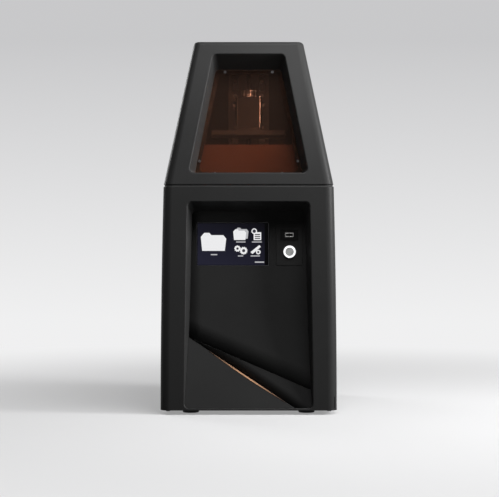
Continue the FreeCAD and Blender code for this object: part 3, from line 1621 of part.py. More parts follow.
# Projector on its stand, shining up through the deck
stand_top = plate_top + s.stand_height
stand_half = s.stand_width / 2
stand_reach = s.stand_depth / 2
keep("projector_stand", cut(
    slab(stand_half, stand_reach, plate_top, stand_top),
    slab(stand_half - s.stand_sheet, stand_reach, plate_top, stand_top - s.stand_sheet),
))
projector = keep("projector_housing", doc.addObject("PartDesign::Body", "projector_housing"))
projector_outline = sketch_on(projector, "XY_Plane", (0, 0, stand_top))
draw_rounded(projector_outline, deep(s.projector_width / 2, s.projector_depth / 2), s.projector_corner)
pad(projector, projector_outline, s.projector_height)
lens_low = stand_top + s.projector_height
keep("lens_barrel", cut(
    fuse(
        rod("z", s.lens_radius, 0, s.axis_y, lens_low, s.lens_length),
        rod("z", s.focus_ring_radius, 0, s.axis_y, lens_low + s.focus_ring_low, s.focus_ring_length),
    ),
    rod("z", s.lens_bore, 0, s.axis_y, lens_low + s.lens_length - s.lens_recess, s.lens_recess),
))

# Power supply and main board on the base plate, each about midway from the stand to the casing's wall
side_room = (bottom_half - s.casing_wall + s.stand_width / 2) / 2
supply_middle = s.supply_offset - side_room
supply_x = (supply_middle - s.supply_width / 2, supply_middle + s.supply_width / 2)
supply_front = s.inner_y - s.supply_depth / 2
keep("power_supply", fuse(
    block(supply_x, (supply_front, supply_front + s.supply_depth),
          (plate_top, plate_top + s.supply_height)),
    block(supply_x, (supply_front - s.terminal_height, supply_front),
          (plate_top + s.terminal_height, plate_top + s.terminal_height * 2)),
))
board_low = plate_top + s.board_lift
board_top = board_low + s.board_thick
board_x = side_room - s.board_offset
board_pieces = [block(
    (board_x - s.board_width / 2, board_x + s.board_width / 2),
    (s.inner_y - s.board_depth / 2, s.inner_y + s.board_depth / 2),
    (board_low, board_top),
)]
for side in SIDES:
    for end in SIDES:
        board_pieces.append(rod(
            "z", s.spacer_radius,
            board_x + (s.board_width / 2 - s.spacer_radius * 2) * side,
            s.inner_y + (s.board_depth / 2 - s.spacer_radius * 2) * end,
            plate_top, s.board_lift,
        ))
for place in (-1, 0, 1):
    chip_y = s.inner_y + s.chip_pitch * place
    board_pieces.append(block(
        (board_x - s.chip_side / 2, board_x + s.chip_side / 2),
        (chip_y - s.chip_side / 2, chip_y + s.chip_side / 2),
        (board_top, board_top + s.chip_height),
    ))
keep("main_board", fuse(*board_pieces))

# Rear panel with slots before the fan and beside it, and an opening for the mains inlet
fan_z = floor_z + s.fan_height
inlet_x = -s.inlet_offset
inlet_z = floor_z + s.inlet_height
rear_half = s.rear_width / 2 - s.rear_border / 2
rear_rise = s.rear_tall / 2 - s.rear_border / 2
rear_screw_places = [(rear_half * side, rear_z + rear_rise * end) for side in SIDES for end in SIDES]
rear = keep("rear_panel", doc.addObject("PartDesign::Body", "rear_panel"))
rear_outline = draw_rounded(
    rear_sketch(rear),
    oblong_at(ZERO, s.rear_width - s.fit_gap * 2, rear_z, s.rear_tall - s.fit_gap * 2),
    s.rear_corner,
)
pad(rear, rear_outline, s.rear_thick)
rear_openings = rear_sketch(rear)
SLOT_ROWS = 9
for row in range(SLOT_ROWS):
    slot_z = fan_z + s.slot_pitch * (row - (SLOT_ROWS - 1) / 2)
    for slot_x in (s.fan_offset, -s.vent_offset):
        draw(rear_openings, oblong_at(slot_x, s.slot_long, slot_z, s.slot_tall))
inlet_opening = oblong_at(inlet_x, s.inlet_width + s.fit_gap * 2, inlet_z, s.inlet_tall + s.fit_gap * 2)
draw(rear_openings, inlet_opening)
draw_circles(rear_openings, rear_screw_places, s.screw_hole_radius)
pocket(rear, rear_openings, s.rear_thick * 4, symmetric=True)
for rear_screw_place in rear_screw_places:
    pocket(casing, draw_circles(rear_sketch(casing), [rear_screw_place], s.screw_hole_radius),
           s.screw_length, backwards=True)
rear_screws = [screw("y", 1, x, back_y, z, s.casing_wall, s.small_head_radius, s.small_head_height)
               for x, z in rear_screw_places]
keep("rear_screws", group(*rear_screws, *leaf_screws(casing_leaf_places)))

# Fan behind the rear panel: a frame with a strutted hub, and the rotor
fan_back = back_y - s.rear_thick - s.panel_gap
fan_front = fan_back - s.fan_thick


def fan_block(half_width, half_height, y_span):
    return block((s.fan_offset - half_width, s.fan_offset + half_width), y_span,
                 (fan_z - half_height, fan_z + half_height))


def fan_rod(radius, start, length):
    return rod("y", radius, s.fan_offset, start, fan_z, length)


strut_span = (fan_front, fan_front + s.fan_wall)
strut_half = s.fan_strut / 2
strut_reach = s.fan_side / 2 - s.fan_wall / 2
keep("fan_frame", fuse(
    cut(fan_block(s.fan_side / 2, s.fan_side / 2, (fan_front, fan_back)),
        fan_rod(s.fan_bore_radius, fan_front, s.fan_thick)),
    fan_block(strut_half, strut_reach, strut_span),
    fan_block(strut_reach, strut_half, strut_span),
    fan_rod(s.fan_hub_radius, fan_front, s.fan_wall),
))
hub_front = fan_front + s.fan_wall + s.fit_gap * 2
hub_middle = hub_front + s.fan_hub_depth / 2
FAN_BLADES = 7
rotor_pieces = [fan_rod(s.fan_hub_radius, hub_front, s.fan_hub_depth)]
for number in range(FAN_BLADES):
    blade = group(block(
        (s.fan_hub_radius - s.fan_bite, s.fan_blade_radius),
        (-s.fan_blade_depth / 2, s.fan_blade_depth / 2),
        (-s.fan_blade_thick / 2, s.fan_blade_thick / 2),
    ))
    around = Rotation(Vector(0, 1, 0), 360 * number / FAN_BLADES)
    pitch = Rotation(Vector(1, 0, 0), s.fan_blade_pitch.value)
    blade.Placement = Placement(Vector(), around.multiply(pitch))
    rotor_pieces.append(put(blade, s.fan_offset, hub_middle, fan_z))
keep("fan_rotor", fuse(*rotor_pieces))


# Mains inlet with a well for a plug's three pins, and the rocker beside it
def inlet_block(shift, width, tall, y_span):
    return block((inlet_x + shift - width / 2, inlet_x + shift + width / 2), y_span,
                 (inlet_z - tall / 2, inlet_z + tall / 2))


inlet_face = back_y + s.inlet_flange_thick
well_floor = inlet_face - s.inlet_well_depth
pivot_y = inlet_face - s.rocker_room
rocker_opening = inlet_block(
    s.rocker_shift, s.rocker_width + s.rocker_gap * 2, s.rocker_tall + s.rocker_room * 2,
    (pivot_y - s.rocker_depth * 2, inlet_face))
rocker_pin_length = s.rocker_width + s.rocker_pin_reach * 2 + s.rocker_gap * 2
rocker_pin_start = inlet_x + s.rocker_shift - rocker_pin_length / 2
pin_hole = rod("x", s.rocker_pin_radius + s.running_gap, rocker_pin_start - s.fit_gap, pivot_y, inlet_z,
               rocker_pin_length + s.fit_gap * 2)
inlet_body = cut(
    fuse(
        inlet_block(ZERO, s.inlet_width + s.inlet_flange * 2, s.inlet_tall + s.inlet_flange * 2,
                    (back_y, inlet_face)),
        inlet_block(ZERO, s.inlet_width, s.inlet_tall, (back_y - s.inlet_depth, back_y)),
    ),
    inlet_block(-s.inlet_well_shift, s.inlet_well_width, s.inlet_well_tall, (well_floor, inlet_face)),
    rocker_opening,
    pin_hole,
)
pin_span = (well_floor, well_floor + s.inlet_pin_length)
inlet_pins = []
for place in (-1, 0, 1):
    pin_shift = s.inlet_pin_pitch * place - s.inlet_well_shift
    inlet_pins.append(inlet_block(pin_shift, s.inlet_pin_width, s.inlet_pin_tall, pin_span))
keep("power_inlet", fuse(inlet_body, *inlet_pins))
rocker = group(fuse(
    block((-s.rocker_width / 2, s.rocker_width / 2), (-s.rocker_depth, s.rocker_proud),
          (-s.rocker_tall / 2, s.rocker_tall / 2)),
    rod("x", s.rocker_pin_radius, -rocker_pin_length / 2, 0, 0, rocker_pin_length),
))
rocker.Placement = Placement(Vector(), Rotation(Vector(-1, 0, 0), s.rocker_tilt.value))
rocker.setExpression("Placement.Rotation.Angle", text_of(s.rocker_tilt))
keep("mains_rocker", put(rocker, inlet_x + s.rocker_shift, pivot_y, inlet_z))

# Every object must be sound before anything is written
doc.recompute()
for thing in doc.Objects:
    if "Invalid" in thing.State or "Error" in thing.State:
        raise RuntimeError(f"{thing.Name} is not sound: {thing.State}")
for label, thing in nodes.items():
    if thing.Shape.isNull() or not thing.Shape.isValid():
        raise RuntimeError(f"{label} has no valid shape")
os.makedirs("parts", exist_ok=True)
for label, thing in nodes.items():
    thing.Shape.exportStep(f"parts/{label}.step")
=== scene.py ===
import math

import bmesh
import bpy
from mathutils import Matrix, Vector


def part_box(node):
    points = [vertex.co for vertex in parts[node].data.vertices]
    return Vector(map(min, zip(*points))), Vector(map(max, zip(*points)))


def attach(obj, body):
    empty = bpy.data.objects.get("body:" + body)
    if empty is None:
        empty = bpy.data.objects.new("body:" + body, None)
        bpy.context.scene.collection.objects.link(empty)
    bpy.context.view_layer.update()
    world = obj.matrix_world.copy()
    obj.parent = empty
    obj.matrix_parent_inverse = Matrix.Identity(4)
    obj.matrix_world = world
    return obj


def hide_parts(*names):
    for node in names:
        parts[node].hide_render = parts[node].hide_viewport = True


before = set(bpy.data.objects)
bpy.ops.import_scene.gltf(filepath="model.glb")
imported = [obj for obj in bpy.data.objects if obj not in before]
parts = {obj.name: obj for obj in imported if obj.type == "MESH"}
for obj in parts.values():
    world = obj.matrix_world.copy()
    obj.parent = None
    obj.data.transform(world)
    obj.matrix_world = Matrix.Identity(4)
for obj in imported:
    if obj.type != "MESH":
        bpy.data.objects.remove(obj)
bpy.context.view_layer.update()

# Camera: level with the control panel and straight in front of the machine, on a long lens about
# two metres away. The small shift puts the machine where the photograph's frame has it.
PHOTO_WIDTH = 499
focal_pixels = 1301.5
shift_pixels = 0.85
front_camera = bpy.data.cameras.new("front_camera")
front_camera.sensor_width = 36.0
front_camera.lens = front_camera.sensor_width * focal_pixels / PHOTO_WIDTH
front_camera.shift_x = shift_pixels / PHOTO_WIDTH
camera = bpy.data.objects.new("front_camera", front_camera)
camera.location = (0.0, -2.375, 0.2815)
camera.rotation_euler = (math.radians(90), 0.0, 0.0)
bpy.context.scene.collection.objects.link(camera)
bpy.context.scene.camera = camera
bpy.context.scene.view_settings.view_transform = "Standard"


# Stage: a pale floor that turns up into a backdrop, as a studio's paper sweep does. It glows pale
# grey, with painted shade that makes it darker higher up, and takes the machine's shadow near its foot.
def new_material(name):
    """An empty node material: the material, its nodes, its links and its output."""
    material = bpy.data.materials.new(name)
    material.use_nodes = True
    tree = material.node_tree
    tree.nodes.clear()
    output = tree.nodes.new("ShaderNodeOutputMaterial")
    return material, tree.nodes, tree.links, output


def axis_of(nodes, links, axis, space="Object"):
    """One axis of a surface point's place in its object, or of another set of coordinates."""
    place = nodes.new("ShaderNodeTexCoord")
    split = nodes.new("ShaderNodeSeparateXYZ")
    links.new(place.outputs[space], split.inputs[0])
    return split.outputs[axis]


def calculate(nodes, links, operation, *terms):
    """A math node's result, for terms that are sockets or plain numbers."""
    step = nodes.new("ShaderNodeMath")
    step.operation = operation
    for place, term in zip(step.inputs, terms):
        if isinstance(term, bpy.types.NodeSocket):
            links.new(term, place)
        else:
            place.default_value = term
    return step.outputs[0]


def remap(nodes, links, value, start, end, first=0.0, last=1.0, smooth=False):
    """A value that goes from the first number to the last while another goes from start to end."""
    scale = nodes.new("ShaderNodeMapRange")
    if smooth:
        scale.interpolation_type = "SMOOTHSTEP"
    for label, number in (("From Min", start), ("From Max", end), ("To Min", first), ("To Max", last)):
        scale.inputs[label].default_value = number
    links.new(value, scale.inputs["Value"])
    return scale.outputs["Result"]


def grey(tone):
    """A colour without a hue."""
    return tone, tone, tone


def two_tones(nodes, links, share, low, high):
    """A colour that goes from one tone to another as a share rises from 0 to 1."""
    tones = nodes.new("ShaderNodeMix")
    tones.data_type = "RGBA"
    tones.inputs["A"].default_value = (*low, 1)
    tones.inputs["B"].default_value = (*high, 1)
    links.new(share, tones.inputs["Factor"])
    return tones.outputs["Result"]


def seen_directly(nodes, links):
    """Whether a ray comes from the camera, from a mirroring surface or through glass."""
    path = nodes.new("ShaderNodeLightPath")
    seen = path.outputs["Is Camera Ray"]
    for kind in ("Is Glossy Ray", "Is Transmission Ray"):
        seen = calculate(nodes, links, "MAXIMUM", seen, path.outputs[kind])
    return seen


sweep_half = 6.0
sweep_front = -5.0
sweep_back = 3.4
sweep_radius = 0.9
sweep_height = 4.5
SWEEP_STEPS = 16
sweep_profile = [(sweep_front, 0.0)]
for step in range(SWEEP_STEPS + 1):
    angle = math.radians(90 * step / SWEEP_STEPS)
    sweep_profile.append((sweep_back - sweep_radius + sweep_radius * math.sin(angle),
                          sweep_radius - sweep_radius * math.cos(angle)))
sweep_profile.append((sweep_back, sweep_height))
sweep_points = [(side * sweep_half, y, z) for y, z in sweep_profile for side in (-1, 1)]
sweep_faces = [(2 * n, 2 * n + 1, 2 * n + 3, 2 * n + 2) for n in range(len(sweep_profile) - 1)]
sweep_mesh = bpy.data.meshes.new("paper_sweep")
sweep_mesh.from_pydata(sweep_points, [], sweep_faces)
sweep = bpy.data.objects.new("paper_sweep", sweep_mesh)
bpy.context.scene.collection.objects.link(sweep)
for face in sweep_mesh.polygons:
    face.use_smooth = True

paper_low = (0.87, 0.87, 0.875)
painted_shade_high = (0.58, 0.58, 0.59)
paper_shaded = (0.60, 0.60, 0.605)
paper_bounce = grey(0.06)
paper_fade = 1.2
shadow_near = 0.25
shadow_far = 1.5
own_tone_near = 0.35
paper, nodes, links, output = new_material("sweep_paper")
# Painted shade: the paper's glow darkens with height.
height_share = remap(nodes, links, axis_of(nodes, links, "Z"), 0.0, paper_fade)
paper_seen = nodes.new("ShaderNodeEmission")
links.new(two_tones(nodes, links, height_share, paper_low, painted_shade_high), paper_seen.inputs["Color"])
place = nodes.new("ShaderNodeTexCoord")
foot_distance = nodes.new("ShaderNodeVectorMath")
foot_distance.operation = "LENGTH"
links.new(place.outputs["Object"], foot_distance.inputs[0])
own_tone = remap(
    nodes, links, foot_distance.outputs["Value"], shadow_near, shadow_far, own_tone_near, smooth=True)
light_path = nodes.new("ShaderNodeLightPath")
paper_white = two_tones(nodes, links, light_path.outputs["Is Camera Ray"], paper_bounce, paper_shaded)
paper_body = nodes.new("ShaderNodeBsdfDiffuse")
links.new(paper_white, paper_body.inputs["Color"])
seen_share = calculate(nodes, links, "MULTIPLY", seen_directly(nodes, links), own_tone)
paper_mix = nodes.new("ShaderNodeMixShader")
links.new(seen_share, paper_mix.inputs["Fac"])
links.new(paper_body.outputs[0], paper_mix.inputs[1])
links.new(paper_seen.outputs[0], paper_mix.inputs[2])
links.new(paper_mix.outputs[0], output.inputs["Surface"])
sweep_mesh.materials.append(paper)

# Light: a soft box above and before the machine, a second at its right, a third behind it, and a
# narrow spot at the right of the camera that glints on the neck through the window. The room's air
# is dim, and shows the paper's grey near the horizon where the sweep ends.
world = bpy.data.worlds.new("studio_air")
bpy.context.scene.world = world
world.use_nodes = True
nodes = world.node_tree.nodes
links = world.node_tree.links
dim_air = nodes["Background"]
dim_air.inputs["Color"].default_value = (0.86, 0.87, 0.88, 1)
dim_air.inputs["Strength"].default_value = 0.006
sky_low = 0.18
sky_high = 0.42
horizon_grey = (0.66, 0.66, 0.67)
height = axis_of(nodes, links, "Z", "Generated")
sky_share = remap(nodes, links, height, sky_low, sky_high, smooth=True)
seen_air = nodes.new("ShaderNodeBackground")
links.new(two_tones(nodes, links, sky_share, horizon_grey, grey(0.02)), seen_air.inputs["Color"])
air_mix = nodes.new("ShaderNodeMixShader")
links.new(seen_directly(nodes, links), air_mix.inputs["Fac"])
links.new(dim_air.outputs[0], air_mix.inputs[1])
links.new(seen_air.outputs[0], air_mix.inputs[2])
links.new(air_mix.outputs[0], nodes["World Output"].inputs["Surface"])


def hang(lamp, place, aim, power):
    """Put a lamp in its place, turned towards the point that it lights."""
    lamp.energy = power
    stand = bpy.data.objects.new(lamp.name, lamp)
    stand.location = place
    stand.rotation_euler = (Vector(aim) - Vector(place)).to_track_quat("-Z", "Y").to_euler()
    bpy.context.scene.collection.objects.link(stand)


def soft_box(name, place, aim, size, power):
    """A rectangular lamp with a diffuser."""
    lamp = bpy.data.lights.new(name, "AREA")
    lamp.shape = "RECTANGLE"
    lamp.size, lamp.size_y = size
    hang(lamp, place, aim, power)


soft_box("top_box", place=(0.22, -0.58, 1.18), aim=(0.0, -0.15, 0.36), size=(0.6, 0.4), power=10.5)
soft_box("side_box", place=(1.50, -0.50, 0.80), aim=(0.0, -0.15, 0.34), size=(0.5, 0.7), power=40.0)
soft_box("back_box", place=(-1.5, 1.5, 1.3), aim=(0.0, 0.15, 0.36), size=(1.0, 0.8), power=26.0)
window_spot = bpy.data.lights.new("window_spot", "SPOT")
window_spot.spot_size = math.radians(5.0)
window_spot.spot_blend = 0.7
window_spot.shadow_soft_size = 0.06
hang(window_spot, place=(0.88, -1.90, 0.745), aim=(0.0, -0.03, 0.528), power=65.0)


# Feet: four moulded rubber discs under the corners, each held by a screw up into the base plate.
# The rubber is dull and slightly uneven, as it comes from an etched mould.
def paint(material, *names):
    """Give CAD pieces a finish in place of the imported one."""
    for name in names:
        for slot in parts[name].material_slots:
            slot.material = material


def new_group(name, inputs, outputs):
    """A shader node group with named inputs and outputs, and its two end nodes."""
    group = bpy.data.node_groups.new(name, "ShaderNodeTree")
    for label, value in inputs:
        socket = group.interface.new_socket(name=label, in_out="INPUT", socket_type="NodeSocketFloat")
        socket.default_value = value
    for label in outputs:
        group.interface.new_socket(name=label, in_out="OUTPUT", socket_type="NodeSocketFloat")
    return group, group.nodes.new("NodeGroupInput"), group.nodes.new("NodeGroupOutput")


def etched_mould():
    """The fine etched texture of a mould, and slow changes of tone over a face."""
    group, start, end = new_group(
        "etched_mould",
        [("Grain per metre", 900.0), ("Tone per metre", 9.0)],
        ["Height", "Tone", "Speck"],
    )
    place = group.nodes.new("ShaderNodeTexCoord")
    cells = group.nodes.new("ShaderNodeTexVoronoi")
    cells.feature = "SMOOTH_F1"
    cells.inputs["Smoothness"].default_value = 0.6
    group.links.new(place.outputs["Object"], cells.inputs["Vector"])
    group.links.new(start.outputs["Grain per metre"], cells.inputs["Scale"])
    fine = group.nodes.new("ShaderNodeTexNoise")
    fine.inputs["Detail"].default_value = 3.0
    group.links.new(place.outputs["Object"], fine.inputs["Vector"])
    group.links.new(start.outputs["Grain per metre"], fine.inputs["Scale"])
    height = calculate(group.nodes, group.links, "ADD", cells.outputs["Distance"], fine.outputs["Fac"])
    group.links.new(height, end.inputs["Height"])
    slow = group.nodes.new("ShaderNodeTexNoise")
    slow.inputs["Detail"].default_value = 4.0
    slow.inputs["Roughness"].default_value = 0.55
    group.links.new(place.outputs["Object"], slow.inputs["Vector"])
    group.links.new(start.outputs["Tone per metre"], slow.inputs["Scale"])
    group.links.new(slow.outputs["Fac"], end.inputs["Tone"])
    group.links.new(fine.outputs["Fac"], end.inputs["Speck"])
    return group


mould_texture = etched_mould()


def main_shader(nodes, links, target, values):
    """The main shader of a finish, with these fixed values, linked to what takes it."""
    body = nodes.new("ShaderNodeBsdfPrincipled")
    for label, value in values.items():
        body.inputs[label].default_value = value
    links.new(body.outputs[0], target)
    return body


def relief_on(nodes, links, body, height, strength, distance):
    """Shade a surface as if a pattern stood out of it."""
    relief = nodes.new("ShaderNodeBump")
    relief.inputs["Strength"].default_value = strength
    relief.inputs["Distance"].default_value = distance
    links.new(height, relief.inputs["Height"])
    links.new(relief.outputs["Normal"], body.inputs["Normal"])


def moulded(name, dark, light, roughness, grain=900.0, bump=0.12, specular=0.5, tone=9.0):
    """A moulded plastic or rubber: two tones of one colour, an etched surface, a varied gloss."""
    speck_weight = 0.45
    etch_depth = 0.0004
    gloss_range = (roughness - 0.07, roughness + 0.07)
    material, nodes, links, output = new_material(name)
    body = main_shader(nodes, links, output.inputs["Surface"], {"Specular IOR Level": specular})
    etch = nodes.new("ShaderNodeGroup")
    etch.node_tree = mould_texture
    etch.inputs["Grain per metre"].default_value = grain
    etch.inputs["Tone per metre"].default_value = tone
    speck = calculate(nodes, links, "MULTIPLY", etch.outputs["Speck"], speck_weight)
    tone_share = calculate(nodes, links, "MULTIPLY_ADD", etch.outputs["Tone"], 1.0 - speck_weight, speck)
    links.new(two_tones(nodes, links, tone_share, dark, light), body.inputs["Base Color"])
    gloss = remap(nodes, links, etch.outputs["Tone"], 0.0, 1.0, *gloss_range)
    links.new(gloss, body.inputs["Roughness"])
    relief_on(nodes, links, body, etch.outputs["Height"], bump, etch_depth)
    return material


foot_rubber = moulded(
    "foot_rubber", grey(0.020), (0.046, 0.046, 0.047),
    roughness=0.72, grain=1500.0, bump=0.2, specular=0.3)
paint(foot_rubber, "feet")

# Base plate: black powder-coated sheet that closes the casing from below, pierced with vents. The
# coat has the slight orange peel of sprayed powder.
powder_coat = moulded(
    "powder_coat", (0.028, 0.028, 0.029), (0.052, 0.052, 0.054),
    roughness=0.50, grain=600.0, bump=0.25, specular=0.35)
paint(powder_coat, "base_plate")

# Casing: one large moulding in black plastic with a fine matte etch, crowned a little on every
# side, with a soft rubber seal stuck round its rim under the hood.
casing_black = moulded(
    "casing_black", grey(0.019), grey(0.032), roughness=0.45, bump=0.16, specular=0.11)
paint(casing_black, "casing_shell")
seal_rubber = moulded(
    "seal_rubber", grey(0.012), grey(0.024), roughness=0.7, grain=1200.0, bump=0.2, specular=0.3)
paint(seal_rubber, "rim_seal")

# Projector: a closed light engine in a cast housing with cooling ribs, on a folded steel stand. Its
# lens barrel points up and has a ring where the focus is set.
engine_black = moulded(
    "engine_black", (0.030, 0.030, 0.032), (0.056, 0.056, 0.058),
    roughness=0.5, grain=700.0, bump=0.2, specular=0.4)
paint(engine_black, "projector_housing", "lens_barrel")
paint(powder_coat, "projector_stand")


def geometry_tree(name, inputs):
    """A geometry node tree with named inputs, one geometry output and its two end nodes."""
    tree = bpy.data.node_groups.new(name, "GeometryNodeTree")
    for label, kind, value in inputs:
        socket = tree.interface.new_socket(name=label, in_out="INPUT", socket_type="NodeSocket" + kind)
        if value is not None:
            socket.default_value = value
    tree.interface.new_socket(name="Geometry", in_out="OUTPUT", socket_type="NodeSocketGeometry")
    return tree, tree.nodes.new("NodeGroupInput"), tree.nodes.new("NodeGroupOutput")


def feed(tree, start, node, inputs):
    """Link a node's inputs to the inputs of its tree: the node's label, then the tree's."""
    for label, source in inputs.items():
        tree.links.new(start.outputs[source], node.inputs[label])


def close_tree(tree, start, end, geometry):
    """Realise a tree's instances and give them the material that it was handed."""
    real = tree.nodes.new("GeometryNodeRealizeInstances")
    finish = tree.nodes.new("GeometryNodeSetMaterial")
    tree.links.new(geometry, real.inputs[0])
    tree.links.new(real.outputs[0], finish.inputs["Geometry"])
    tree.links.new(start.outputs["Material"], finish.inputs["Material"])
    tree.links.new(finish.outputs[0], end.inputs["Geometry"])


def in_rows(tree, start, one):
    """Repeat one shape along a line of places, and that line along a line of rows."""
    line = tree.nodes.new("GeometryNodeMeshLine")
    feed(tree, start, line, {"Count": "Count", "Start Location": "First", "Offset": "Step"})
    spots = tree.nodes.new("GeometryNodeInstanceOnPoints")
    tree.links.new(line.outputs[0], spots.inputs["Points"])
    tree.links.new(one, spots.inputs["Instance"])
    tree.links.new(start.outputs["Turn"], spots.inputs["Rotation"])
    rows = tree.nodes.new("GeometryNodeMeshLine")
    feed(tree, start, rows, {"Count": "Rows", "Offset": "Row step"})
    field = tree.nodes.new("GeometryNodeInstanceOnPoints")
    tree.links.new(rows.outputs[0], field.inputs["Points"])
    tree.links.new(spots.outputs[0], field.inputs["Instance"])
    return field.outputs[0]


ROW_INPUTS = [
    ("Count", "Int", 1), ("First", "Vector", (0.0, 0.0, 0.0)), ("Step", "Vector", (0.0, 0.0, 0.01)),
    ("Rows", "Int", 1), ("Row step", "Vector", (0.01, 0.0, 0.0)), ("Turn", "Rotation", None),
    ("Material", "Material", None),
]


def rounded_slats():
    """Bars with rounded ends in rows: ribs, louvres and contact blocks."""
    tree, start, end = geometry_tree("rounded_slats", ROW_INPUTS + [
        ("Length", "Float", 0.04), ("Width", "Float", 0.003), ("Rise", "Float", 0.001),
        ("Corner", "Float", 0.001)])
    outline = tree.nodes.new("GeometryNodeCurvePrimitiveQuadrilateral")
    feed(tree, start, outline, {"Width": "Length", "Height": "Width"})
    corner = tree.nodes.new("GeometryNodeFilletCurve")
    corner.mode = "POLY"
    corner.inputs["Count"].default_value = 3
    tree.links.new(outline.outputs[0], corner.inputs["Curve"])
    tree.links.new(start.outputs["Corner"], corner.inputs["Radius"])
    plate = tree.nodes.new("GeometryNodeFillCurve")
    plate.mode = "NGONS"
    tree.links.new(corner.outputs[0], plate.inputs["Curve"])
    bar = tree.nodes.new("GeometryNodeExtrudeMesh")
    tree.links.new(plate.outputs[0], bar.inputs["Mesh"])
    tree.links.new(start.outputs["Rise"], bar.inputs["Offset Scale"])
    under = tree.nodes.new("GeometryNodeFlipFaces")
    tree.links.new(plate.outputs[0], under.inputs["Mesh"])
    halves = tree.nodes.new("GeometryNodeJoinGeometry")
    tree.links.new(bar.outputs["Mesh"], halves.inputs[0])
    tree.links.new(under.outputs[0], halves.inputs[0])
    closed = tree.nodes.new("GeometryNodeMergeByDistance")
    closed.inputs["Distance"].default_value = 0.00001
    tree.links.new(halves.outputs[0], closed.inputs["Geometry"])
    close_tree(tree, start, end, in_rows(tree, start, closed.outputs[0]))
    return tree


def grow(name, tree, values, body):
    """Run a geometry tree with these sizes, keep the result as a plain mesh and hang it on a body."""
    seed = bpy.data.objects.new(name + "_seed", bpy.data.meshes.new(name + "_seed"))
    bpy.context.scene.collection.objects.link(seed)
    modifier = seed.modifiers.new("growth", "NODES")
    modifier.node_group = tree
    for socket in tree.interface.items_tree:
        if socket.in_out == "INPUT" and socket.name in values:
            modifier[socket.identifier] = values[socket.name]
    grown = seed.evaluated_get(bpy.context.evaluated_depsgraph_get())
    mesh = bpy.data.meshes.new_from_object(grown)
    bpy.data.objects.remove(seed)
    mesh.name = name
    thing = bpy.data.objects.new(name, mesh)
    bpy.context.scene.collection.objects.link(thing)
    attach(thing, body)
    return thing


slats = rounded_slats()
UPRIGHT = (math.radians(90), 0.0, 0.0)
LENGTHWISE = (0.0, 0.0, math.radians(90))
engine_low, engine_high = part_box("projector_housing")
rib_rise = 0.0012
grow("projector_ribs", slats, {
    "Count": 7, "First": (0.0, engine_low[1], engine_low[2] + 0.016), "Step": (0.0, 0.0, 0.010),
    "Turn": UPRIGHT, "Length": 0.13, "Width": 0.004, "Rise": rib_rise, "Corner": 0.0019,
    "Material": engine_black,
}, "base")
grow("projector_vents", slats, {
    "Count": 12, "First": (-0.066, engine_high[1] - 0.018, engine_high[2]), "Step": (0.012, 0.0, 0.0),
    "Turn": LENGTHWISE, "Length": 0.022, "Width": 0.005, "Rise": rib_rise,
    "Corner": 0.0024, "Material": engine_black,
}, "base")


# Power supply: a closed tin of zinc-plated sheet, pierced with rows of hexagonal holes along its
# side, with a block of screw terminals at its front.
def pressed_rounds():
    """Round or many-sided studs with a sunk middle in rows: screw heads, holes and small cans."""
    tree, start, end = geometry_tree("pressed_rounds", ROW_INPUTS + [
        ("Sides", "Int", 16), ("Radius", "Float", 0.003), ("Rise", "Float", 0.001),
        ("Socket share", "Float", 0.55), ("Socket depth", "Float", 0.0006)])
    stud = tree.nodes.new("GeometryNodeMeshCylinder")
    feed(tree, start, stud, {"Vertices": "Sides", "Radius": "Radius", "Depth": "Rise"})
    rim = tree.nodes.new("GeometryNodeExtrudeMesh")
    rim.inputs["Offset Scale"].default_value = 0.0
    tree.links.new(stud.outputs["Mesh"], rim.inputs["Mesh"])
    tree.links.new(stud.outputs["Top"], rim.inputs["Selection"])
    mouth = tree.nodes.new("GeometryNodeScaleElements")
    tree.links.new(rim.outputs["Mesh"], mouth.inputs["Geometry"])
    tree.links.new(rim.outputs["Top"], mouth.inputs["Selection"])
    tree.links.new(start.outputs["Socket share"], mouth.inputs["Scale"])
    sink = calculate(tree.nodes, tree.links, "MULTIPLY", start.outputs["Socket depth"], -1.0)
    socket = tree.nodes.new("GeometryNodeExtrudeMesh")
    tree.links.new(mouth.outputs[0], socket.inputs["Mesh"])
    tree.links.new(rim.outputs["Top"], socket.inputs["Selection"])
    tree.links.new(sink, socket.inputs["Offset Scale"])
    close_tree(tree, start, end, in_rows(tree, start, socket.outputs["Mesh"]))
    return tree


def object_noise(nodes, links, scale, detail=2.0):
    """A cloudy pattern that is fixed to its object, with this many clouds to a metre."""
    place = nodes.new("ShaderNodeTexCoord")
    clouds = nodes.new("ShaderNodeTexNoise")
    clouds.inputs["Scale"].default_value = scale
    clouds.inputs["Detail"].default_value = detail
    links.new(place.outputs["Object"], clouds.inputs["Vector"])
    return clouds.outputs["Fac"]


def drawn_lines():
    """Fine parallel scratches that run along X: their height, and smears of gloss."""
    group, start, end = new_group(
        "drawn_lines", [("Lines per metre", 2500.0), ("Stretch", 0.02)], ["Height", "Gloss"])
    place = group.nodes.new("ShaderNodeTexCoord")
    stretch = group.nodes.new("ShaderNodeCombineXYZ")
    stretch.inputs["Y"].default_value = 1.0
    stretch.inputs["Z"].default_value = 1.0
    group.links.new(start.outputs["Stretch"], stretch.inputs["X"])
    scaled = group.nodes.new("ShaderNodeVectorMath")
    scaled.operation = "MULTIPLY"
    group.links.new(place.outputs["Object"], scaled.inputs[0])
    group.links.new(stretch.outputs[0], scaled.inputs[1])
    lines = group.nodes.new("ShaderNodeTexNoise")
    lines.inputs["Detail"].default_value = 2.0
    group.links.new(scaled.outputs[0], lines.inputs["Vector"])
    group.links.new(start.outputs["Lines per metre"], lines.inputs["Scale"])
    group.links.new(lines.outputs["Fac"], end.inputs["Height"])
    group.links.new(object_noise(group.nodes, group.links, 35.0), end.inputs["Gloss"])
    return group


metal_lines = drawn_lines()


